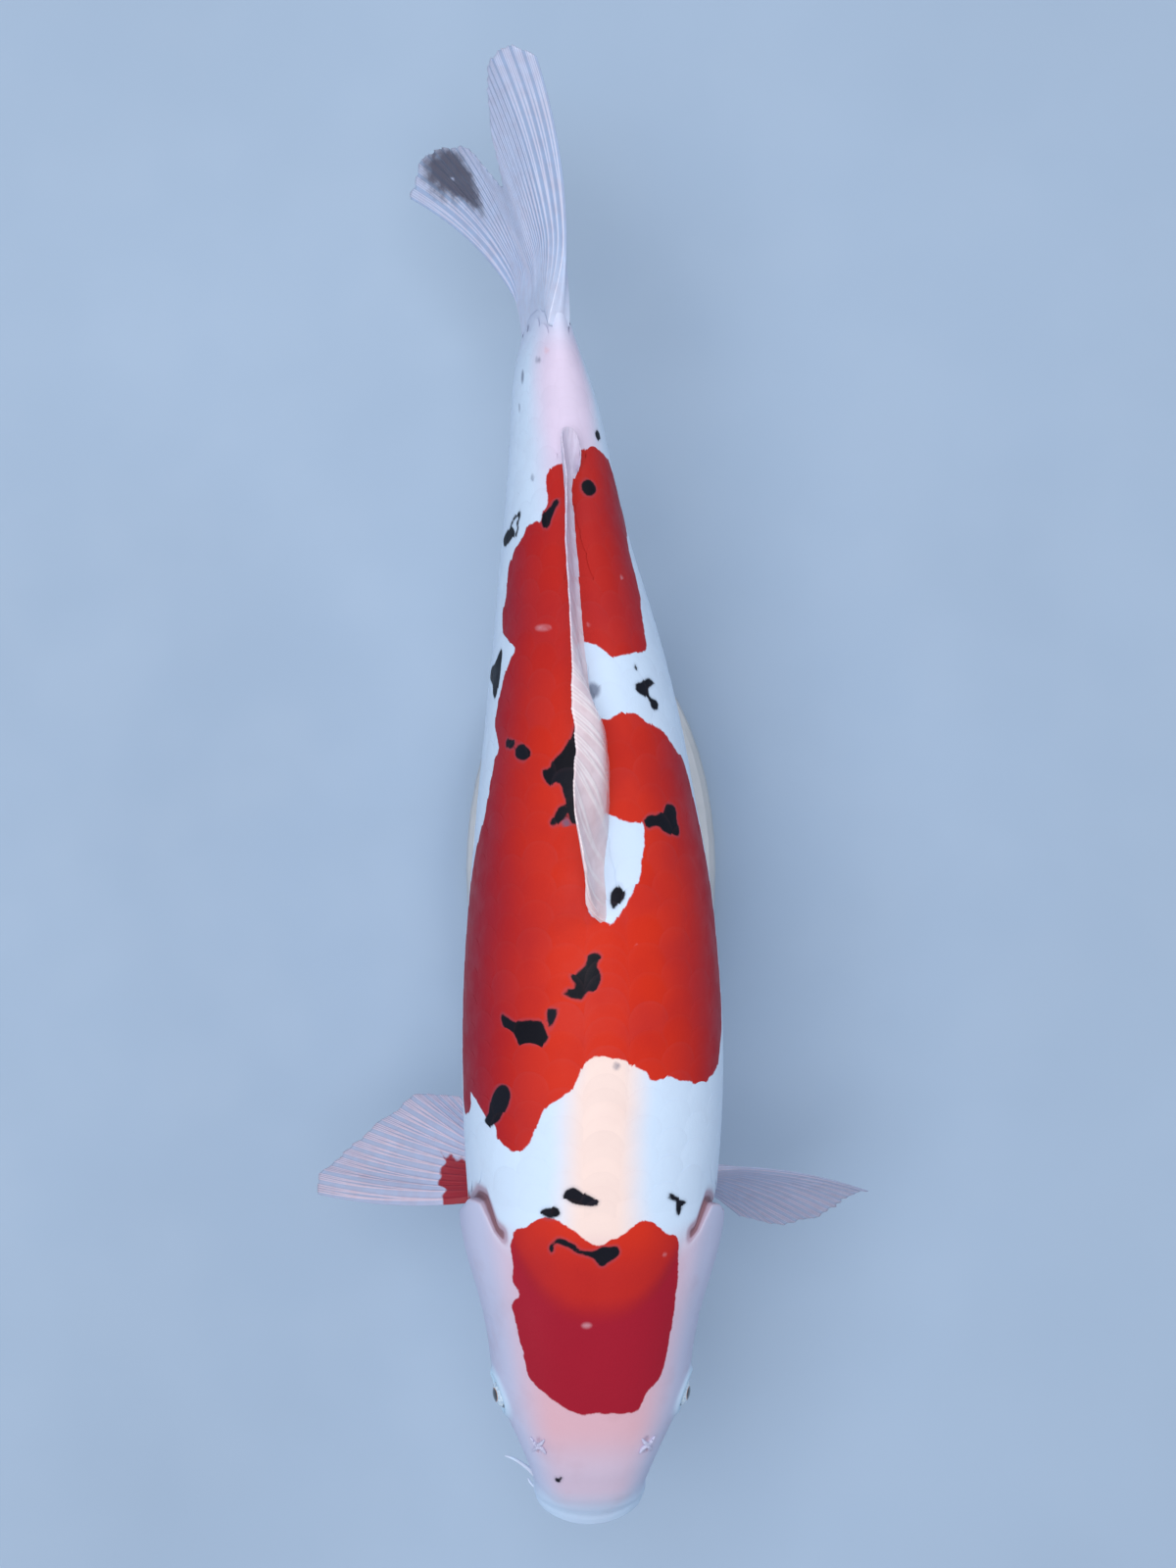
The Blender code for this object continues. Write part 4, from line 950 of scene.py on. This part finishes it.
def eye(side, word, finish):
    """An eyeball turned outwards, a little forward and up, its cornea slightly domed."""
    rings, sides = 48, 64
    angle = np.linspace(0, math.pi, rings + 1)[1:-1]
    axis = unit(np.array([side * 0.93, -0.12, 0.34]))
    degrees = np.degrees(angle)
    radius = EYE["radius"] * (1 - 0.035 * ramp(degrees, 30, 55) * (1 - ramp(degrees, 80, 120)))
    around = spokes_round(axis, (0.0, 1.0, 0.0), full_turn(sides))
    ball = axis * np.cos(angle)[:, None, None] + around * np.sin(angle)[:, None, None]
    centre = np.array([side * EYE["x"], EYE["y"], EYE["z"]])
    points = centre + (ball * radius[:, None, None]).reshape(-1, 3)
    points = np.concatenate([points, [centre + axis * EYE["radius"], centre - axis * EYE["radius"]]])
    faces = [face[::-1] for face in closed_rings(rings - 1, sides)]
    off = np.append(np.repeat(degrees, sides), [0, 180])
    made = mesh_piece(f"eyeball_{word}", points, faces, finish, {"off": off})
    keep(made, "eye", f"eye_{word}")


class Nodes:
    """Short ways to wire the nodes of one material."""

    def __init__(self, name):
        self.material = bpy.data.materials.new(name)
        self.material.use_nodes = True
        self.tree = self.material.node_tree
        self.shader = self.tree.nodes["Principled BSDF"]

    def put(self, socket, value):
        if isinstance(value, bpy.types.NodeSocket):
            self.tree.links.new(value, socket)
        else:
            socket.default_value = (*value, 1) if socket.type == "RGBA" else value

    def add(self, kind, inputs, **settings):
        node = self.tree.nodes.new("ShaderNode" + kind)
        for key, value in settings.items():
            setattr(node, key, value)
        for key, value in inputs.items():
            self.put(node.inputs[key], value)
        return node

    def attribute(self, name):
        return self.add("Attribute", {}, attribute_name=name).outputs["Fac"]

    def place(self):
        return self.add("TexCoord", {}).outputs["Object"]

    def math(self, operation, a, b=0.0):
        return self.add("Math", {0: a, 1: b}, operation=operation).outputs[0]

    def times(self, a, b):
        return self.math("MULTIPLY", a, b)

    def plus(self, a, b):
        return self.math("ADD", a, b)

    def most(self, a, b):
        return self.math("MAXIMUM", a, b)

    def scaled(self, value, low, high, to_low=0.0, to_high=1.0):
        """The value moved smoothly from one range to another, and held beyond it."""
        inputs = {"Value": value, "From Min": low, "From Max": high, "To Min": to_low, "To Max": to_high}
        return self.add("MapRange", inputs, interpolation_type="SMOOTHSTEP").outputs["Result"]

    def mix_value(self, share, a, b):
        return self.add("Mix", {0: share, 2: a, 3: b}).outputs[0]

    def mix(self, share, a, b):
        node = self.add("Mix", {0: share}, data_type="RGBA")
        self.put(node.inputs[6], a)
        self.put(node.inputs[7], b)
        return node.outputs[2]

    def noise(self, size, detail=2.0, rough=0.5, stretch=None):
        """Noise whose features are about size mm across."""
        vector = self.place()
        if stretch:
            vector = self.add("Mapping", {"Vector": vector, "Scale": stretch}).outputs[0]
        inputs = {"Vector": vector, "Scale": 1000 / size, "Detail": detail, "Roughness": rough}
        return self.add("TexNoise", inputs).outputs["Fac"]

    def wobble(self, amount, size, detail=2.0, rough=0.5):
        """Noise to both sides of 0."""
        return self.times(self.math("SUBTRACT", self.noise(size, detail, rough), 0.5), amount)

    def patchy(self, size, low=0.0, high=1.0, detail=2.0):
        """A value that changes between two limits in soft patches."""
        return self.scaled(self.noise(size, detail), 0.3, 0.7, low, high)

    def bump(self, height, depth, strength=1.0):
        """A bump of so many mm."""
        node = self.add("Bump", {"Height": height, "Distance": depth * MM, "Strength": strength})
        self.put(self.shader.inputs["Normal"], node.outputs[0])

    def set(self, **values):
        for key, value in values.items():
            self.put(self.shader.inputs[key.replace("_", " ")], value)
        return self.material


# Colours, linear
FLOOR = (0.36, 0.47, 0.62)
# the skin's white with a painted reflection of blue surroundings, the cream along the back's middle, and the
# pink head
WHITE_WITH_BLUE_REFLECTION, WHITE_WARM, WHITE_HEAD = (0.62, 0.75, 0.92), (0.88, 0.69, 0.63), (0.70, 0.43, 0.50)
# the snout's lilac-pink, the tail stem's lilac-grey (partly its own tone, partly painted shade) and the lips'
# blue-white
SNOUT, STEM_AND_SHADE, LIP = (0.62, 0.50, 0.63), (0.70, 0.60, 0.76), (0.54, 0.70, 0.90)
# the gill's pink; its mauve with painted shade, on the slit's walls and in the nostrils; and the painted
# shade deep in the slit
GILL_PINK, GILL_MAUVE_AND_SHADE, GILL_SHADE = (0.38, 0.17, 0.18), (0.40, 0.29, 0.38), (0.20, 0.09, 0.11)
# the mouth's red darkened by painted shade, the painted shade of the head's sides, and the pale blue round
# the eyes
MOUTH_SHADE, CHEEK_SHADE, ORBIT = (0.20, 0.05, 0.05), (0.50, 0.56, 0.76), (0.50, 0.72, 0.90)
# orange-red; crimson, the red's own deep tone that also serves as its painted shade down the flanks; and the
# darker red of the head's front
ORANGE_RED, CRIMSON_AND_SHADE, CAP_FRONT = (0.60, 0.028, 0.010), (0.30, 0.008, 0.022), (0.35, 0.010, 0.026)
BLACK, BLACK_BLUE = (0.006, 0.006, 0.010), (0.10, 0.12, 0.20)
IRIS, IRIS_GOLD = ((0.40, 0.54, 0.70), (0.66, 0.76, 0.84)), (0.40, 0.16, 0.06)
PUPIL, EYE_RING, EYE_WHITE = (0.004, 0.004, 0.005), (0.05, 0.06, 0.09), (0.55, 0.68, 0.82)
FIN_LILAC, FIN_BLACK = (0.62, 0.58, 0.78), (0.035, 0.025, 0.045)
DORSAL_FIN = (0.94, 0.76, 0.80), (0.98, 0.86, 0.88), (0.90, 0.72, 0.76)  # web, rays and root
PAIRED_FIN = (0.44, 0.50, 0.70), (0.66, 0.56, 0.68), (0.62, 0.60, 0.74)
TAIL_FIN = (0.42, 0.54, 0.78), (0.58, 0.62, 0.80), (0.60, 0.66, 0.84)
LACQUER, STEEL = ((0.40, 0.43, 0.47), (0.46, 0.49, 0.53)), ((0.50, 0.51, 0.53), (0.66, 0.67, 0.69))


def koi_skin():
    """White, red and black skin; the same on the scales."""
    n = Nodes("koi_skin")
    arc = n.math("ABSOLUTE", n.attribute("arc"))
    head, station, side = n.attribute("head"), n.attribute("station"), n.attribute("side")

    # painted reflection: the white is cream along the back's middle and blue-white down the flanks, the blue
    # standing in for reflected blue surroundings
    warm = n.scaled(n.plus(arc, n.times(n.noise(38, 3), 10.0)), 11.0, 27.0, 1.0, 0.0)
    white = n.mix(n.times(warm, n.scaled(station, 245.0, 205.0)), WHITE_WITH_BLUE_REFLECTION, WHITE_WARM)
    # the cream band turns lilac-grey over the tail stem, partly its own tone and partly painted shade
    white = n.mix(n.times(warm, n.scaled(station, 395.0, 440.0)), white, STEM_AND_SHADE)
    white = n.mix(n.scaled(station, 472.0, 494.0), white, TAIL_FIN[2])
    white = n.mix(head, white, n.mix(n.scaled(station, 52.0, 30.0), WHITE_HEAD, SNOUT))
    # painted shade: the head's sides go darker, a blue-grey mauve
    cheek_shade = n.times(head, n.scaled(side, 0.13, 0.31))
    white = n.mix(n.times(cheek_shade, 0.9), white, CHEEK_SHADE)
    white = n.mix(n.times(n.scaled(station, 25.0, 9.0), 0.9), white, LIP)
    blush = n.times(n.scaled(n.noise(16, 4), 0.5, 0.8), n.mix_value(head, 0.05, 0.14))
    white = n.mix(blush, white, GILL_PINK)

    # painted shade: the red darkens from orange-red along the back to crimson down the flanks
    red = n.mix(n.scaled(side, 0.07, 0.36), ORANGE_RED, CRIMSON_AND_SHADE)
    red = n.mix(n.times(n.most(head, n.scaled(station, 290.0, 380.0)), 0.4), red, CRIMSON_AND_SHADE)
    red = n.mix(n.attribute("lobe"), CAP_FRONT, red)
    red = n.mix(n.times(n.scaled(n.noise(30, 4), 0.35, 0.75), 0.25), red, CRIMSON_AND_SHADE)
    red_edge = n.plus(n.attribute("red"), n.wobble(2.2, 4.5, 3, 0.6))
    colour = n.mix(n.scaled(red_edge, -0.35, 0.35), white, red)
    # pinkish scars, and one painted highlight on the head's red
    colour = n.mix(n.scaled(n.attribute("scar_and_highlight"), -0.8, 1.2, 0.0, 0.5), colour, WHITE_HEAD)

    ink = n.plus(n.attribute("ink"), n.wobble(0.9, 2.6, 3, 0.65))
    colour = n.mix(n.scaled(n.attribute("faint"), -1.2, 1.0, 0.0, 0.75), colour, BLACK_BLUE)
    colour = n.mix(n.scaled(ink, -1.5, 0.2, 0.0, 0.22), colour, BLACK_BLUE)
    colour = n.mix(n.scaled(ink, -0.4, 0.4), colour, BLACK)
    colour = n.mix(n.times(n.scaled(n.attribute("rim"), 0.8, 1.0), 0.02), colour, GILL_PINK)
    colour = n.mix(n.scaled(n.attribute("tone"), 0.0, 1.0, 0.0, 0.035), colour, BLACK_BLUE)

    # painted shade in the openings: mauve, partly the gill's own, on the slit's walls and in the nostrils,
    # darkening to brown deep in the slit
    opening = n.most(n.attribute("slit"), n.times(n.attribute("nostril"), 0.5))
    colour = n.mix(n.scaled(opening, 0.0, 0.5, 0.0, 0.9), colour, GILL_MAUVE_AND_SHADE)
    colour = n.mix(n.scaled(opening, 0.6, 1.0, 0.0, 0.85), colour, GILL_SHADE)
    # the mouth's red with painted shade, darker deeper in its pocket
    colour = n.mix(n.attribute("mouth"), colour, MOUTH_SHADE)
    colour = n.mix(n.times(n.attribute("orbit"), 0.85), colour, ORBIT)
    n.bump(n.plus(n.noise(0.9, 3), n.times(n.noise(3.5, 2), 1.5)), 0.10, 0.6)
    return n.set(Base_Color=colour, Roughness=n.patchy(9, 0.42, 0.54, 3), Specular_IOR_Level=0.08)


def fin_web(name, web, bone, root):
    """Clear web between paler rays, both with the fins' own red and black."""
    n = Nodes(name)
    ray, run = n.attribute("ray"), n.attribute("run")
    colour = n.mix(n.scaled(ray, 0.25, 0.8), web, bone)
    colour = n.mix(n.times(n.scaled(run, 0.35, 0.0), 0.85), colour, root)
    colour = n.mix(n.times(n.attribute("cool"), 0.8), colour, FIN_LILAC)
    colour = n.mix(n.times(n.scaled(n.noise(5, 3), 0.3, 0.75), 0.15), colour, GILL_PINK)
    red = n.plus(n.attribute("red"), n.wobble(3.0, 4, 3))
    colour = n.mix(n.scaled(red, -0.6, 0.6), colour, CRIMSON_AND_SHADE)
    ink = n.plus(n.attribute("ink"), n.wobble(9.0, 5, 4, 0.6))
    colour = n.mix(n.scaled(ink, -3.0, 4.0, 0.0, 0.86), colour, FIN_BLACK)
    solid = n.most(n.scaled(ray, 0.2, 0.8, 0.0, 0.72), n.scaled(run, 0.45, 0.0))
    solid = n.most(solid, n.scaled(ink, -1.5, 3.0, 0.0, 0.7))
    clear = n.mix_value(n.scaled(run, 0.1, 1.0), 0.9, n.attribute("clear"))
    alpha = n.plus(clear, n.times(solid, n.math("SUBTRACT", 1.0, clear)))
    alpha = n.times(alpha, n.scaled(n.attribute("veil"), 0.0, 1.0, 1.0, 0.2))
    n.bump(n.plus(n.noise(1.4, 2), ray), 0.10, 0.5)
    return n.set(Base_Color=colour, Roughness=n.patchy(8, 0.36, 0.5), Alpha=alpha, Coat_Weight=0.1)


def feeler_skin():
    """The barbels' skin, paler and bluer towards the tip."""
    n = Nodes("koi_feeler")
    # the barbels' white carries the same painted blue reflection, mottled pink
    colour = n.mix(n.patchy(4, 0.0, 0.35, 3), WHITE_WITH_BLUE_REFLECTION, WHITE_HEAD)
    colour = n.mix(n.scaled(n.attribute("run"), 0.0, 1.0, 0.1, 0.45), colour, LIP)
    n.bump(n.noise(0.8, 3), 0.08, 0.6)
    return n.set(Base_Color=colour, Roughness=n.patchy(3, 0.34, 0.46), Coat_Weight=0.2)


def eye_surface():
    """Rings by the angle off the eye's axis: pupil, gold edge, silvery iris, dark ring and pale white."""
    n = Nodes("koi_eye")
    off = n.plus(n.attribute("off"), n.wobble(3.0, 1.5, 3))
    iris = n.mix(n.scaled(n.noise(0.9, 4), 0.35, 0.7), *IRIS)
    iris = n.mix(n.scaled(off, 24.5, 21.0), iris, IRIS_GOLD)
    colour = n.mix(n.scaled(off, 21.5, 19.0), iris, PUPIL)
    colour = n.mix(n.scaled(off, 43.0, 47.0), colour, EYE_RING)
    colour = n.mix(n.scaled(off, 52.0, 58.0), colour, EYE_WHITE)
    n.bump(n.noise(0.7, 3), 0.03, 0.3)
    return n.set(Base_Color=colour, Roughness=n.patchy(2, 0.10, 0.18), Coat_Weight=1.0, Coat_Roughness=0.03)


def stand_lacquer():
    """Grey lacquer of the stand's base."""
    n = Nodes("stand_lacquer")
    colour = n.mix(n.patchy(30, detail=3), *LACQUER)
    n.bump(n.noise(0.8, 2), 0.03, 0.4)
    return n.set(Base_Color=colour, Roughness=n.patchy(12, 0.36, 0.46), Coat_Weight=0.3)


def brushed_steel():
    """Steel of the stand's rods and collars, brushed in upright lines."""
    n = Nodes("stand_brushed_steel")
    lines = n.noise(0.35, 2, 0.6, stretch=(1.0, 1.0, 0.03))
    rough = n.scaled(lines, 0.3, 0.7, 0.22, 0.38)
    n.bump(lines, 0.02, 0.5)
    return n.set(Base_Color=n.mix(lines, *STEEL), Roughness=rough, Metallic=1.0)


def floor_paper():
    """Matt blue-grey paper under the stand."""
    n = Nodes("studio_floor")
    colour = n.mix(n.patchy(180, detail=3), FLOOR, tuple(0.96 * share for share in FLOOR))
    n.bump(n.noise(2.5, 2), 0.05, 0.3)
    return n.set(Base_Color=colour, Roughness=n.patchy(60, 0.6, 0.75))


LIGHTS = [  # name, place, target, width, watts
    ("overhead", (-0.3, 0.1, 2.1), (0, 0.03, 0.18), 1.5, 27),
    ("window", (1.6, 1.2, 1.5), (0, 0.03, 0.18), 1.2, 10),
    ("fill", (-1.5, -1.2, 1.1), (0, 0.03, 0.18), 1.4, 6),
]
SKY, SKY_STRENGTH = (0.80, 0.88, 1.0, 1), 0.46
CAMERA = dict(lens=60, sensor=36, x=-0.0014, y=0.041, view_height=0.6417)


def studio():
    """Pale floor, soft light and a camera straight above, as in the photo."""
    size = 3.0
    mesh = bpy.data.meshes.new("floor")
    corners = [(-size, -size, 0), (size, -size, 0), (size, size, 0), (-size, size, 0)]
    mesh.from_pydata(corners, [], [(0, 1, 2, 3)])
    mesh.materials.append(floor_paper())
    floor = bpy.data.objects.new("floor", mesh)
    bpy.context.scene.collection.objects.link(floor)

    for name, place, target, width, power in LIGHTS:
        data = bpy.data.lights.new(name, "AREA")
        data.shape, data.size, data.energy = "DISK", width, power
        lamp = bpy.data.objects.new(name, data)
        lamp.location = place
        aim = np.array(target, float) - place
        lamp.rotation_euler = Vector(aim).to_track_quat("-Z", "Y").to_euler()
        bpy.context.scene.collection.objects.link(lamp)

    world = bpy.data.worlds.new("studio")
    world.use_nodes = True
    sky = world.node_tree.nodes["Background"]
    sky.inputs["Color"].default_value = SKY
    sky.inputs["Strength"].default_value = SKY_STRENGTH
    bpy.context.scene.world = world
    bpy.context.scene.view_settings.view_transform = "Standard"

    data = bpy.data.cameras.new("camera")
    data.lens, data.sensor_width = CAMERA["lens"], CAMERA["sensor"]
    camera = bpy.data.objects.new("camera", data)
    above = CAMERA["view_height"] * CAMERA["lens"] / CAMERA["sensor"]
    camera.location = (CAMERA["x"], CAMERA["y"], AXIS_HEIGHT + above)
    bpy.context.scene.collection.objects.link(camera)
    bpy.context.scene.camera = camera


def build():
    """Every piece of the fish, and the stand's finishes."""
    flesh, feeler = koi_skin(), feeler_skin()
    sail = fin_web("koi_dorsal", *DORSAL_FIN)
    web = fin_web("koi_fin", *PAIRED_FIN)
    fan = fin_web("koi_tail", *TAIL_FIN)
    skin_lines = skin(flesh)
    centres = scale_centres()
    upper = [centre for centre in centres if centre[1] < 0]
    lower = [centre for centre in centres if centre[1] >= 0]
    for side, word in ((1, "left"), (-1, "right")):
        scales(f"scales_upper_{word}", upper, side, None, flesh, *skin_lines)
        scales(f"scales_lower_{word}", lower, side, None, flesh, *skin_lines)
    stations = sorted({station for station, _ in centres})
    for name, spans, seam in (("scales_ridge", RIDGE_SPANS, 0.0), ("scales_keel", KEEL_SPANS, 1.0)):
        row = [(station, 0) for station in stations if any(start < station < end for start, end in spans)]
        scales(name, row, 1, seam, flesh, *skin_lines)

    fin(
        "dorsal_fin_web", ["dorsal_fin"], DORSAL, 21, sail, 5.0,
        along=48, wave=0.15, pleat=0.06, clear=0.9, marks=dorsal_marks,
    )  # fmt: skip
    fin(
        "tail_fin_web", ["tail_fin_upper", "tail_fin_lower"], TAIL, 32, fan, 9.4,
        along=84, per_ray=13, clear=0.62, marks=tail_marks,
    )  # fmt: skip
    pelvic_right = [(place, *[(-x, y, z) for x, y, z in ray]) for place, *ray in PELVIC_LEFT]
    for name, guides, rays, thick, settings in (
        ("anal_fin", ANAL, 7, 3.0, {}),
        ("pelvic_fin_left", PELVIC_LEFT, 9, 2.6, {}),
        ("pelvic_fin_right", pelvic_right, 9, 2.6, {}),
        ("pectoral_fin_left", PECTORAL_LEFT, 15, 4.0, {"along": 70}),
        ("pectoral_fin_right", PECTORAL_RIGHT, 15, 4.0, {"along": 70, "marks": pectoral_marks}),
    ):
        fin(f"{name}_web", [name], guides, rays, web, thick, **settings)

    for name, spec in BARBELS.items():
        barbel(name, spec, feeler)
    nostril_flaps(flesh)
    iris = eye_surface()
    eye(1, "left", iris)
    eye(-1, "right", iris)

    lacquer, steel = stand_lacquer(), brushed_steel()
    for name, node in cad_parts.items():
        if name.startswith("stand_"):
            for holder in node.material_slots:
                holder.material = lacquer if name == "stand_base" else steel


build()
studio()
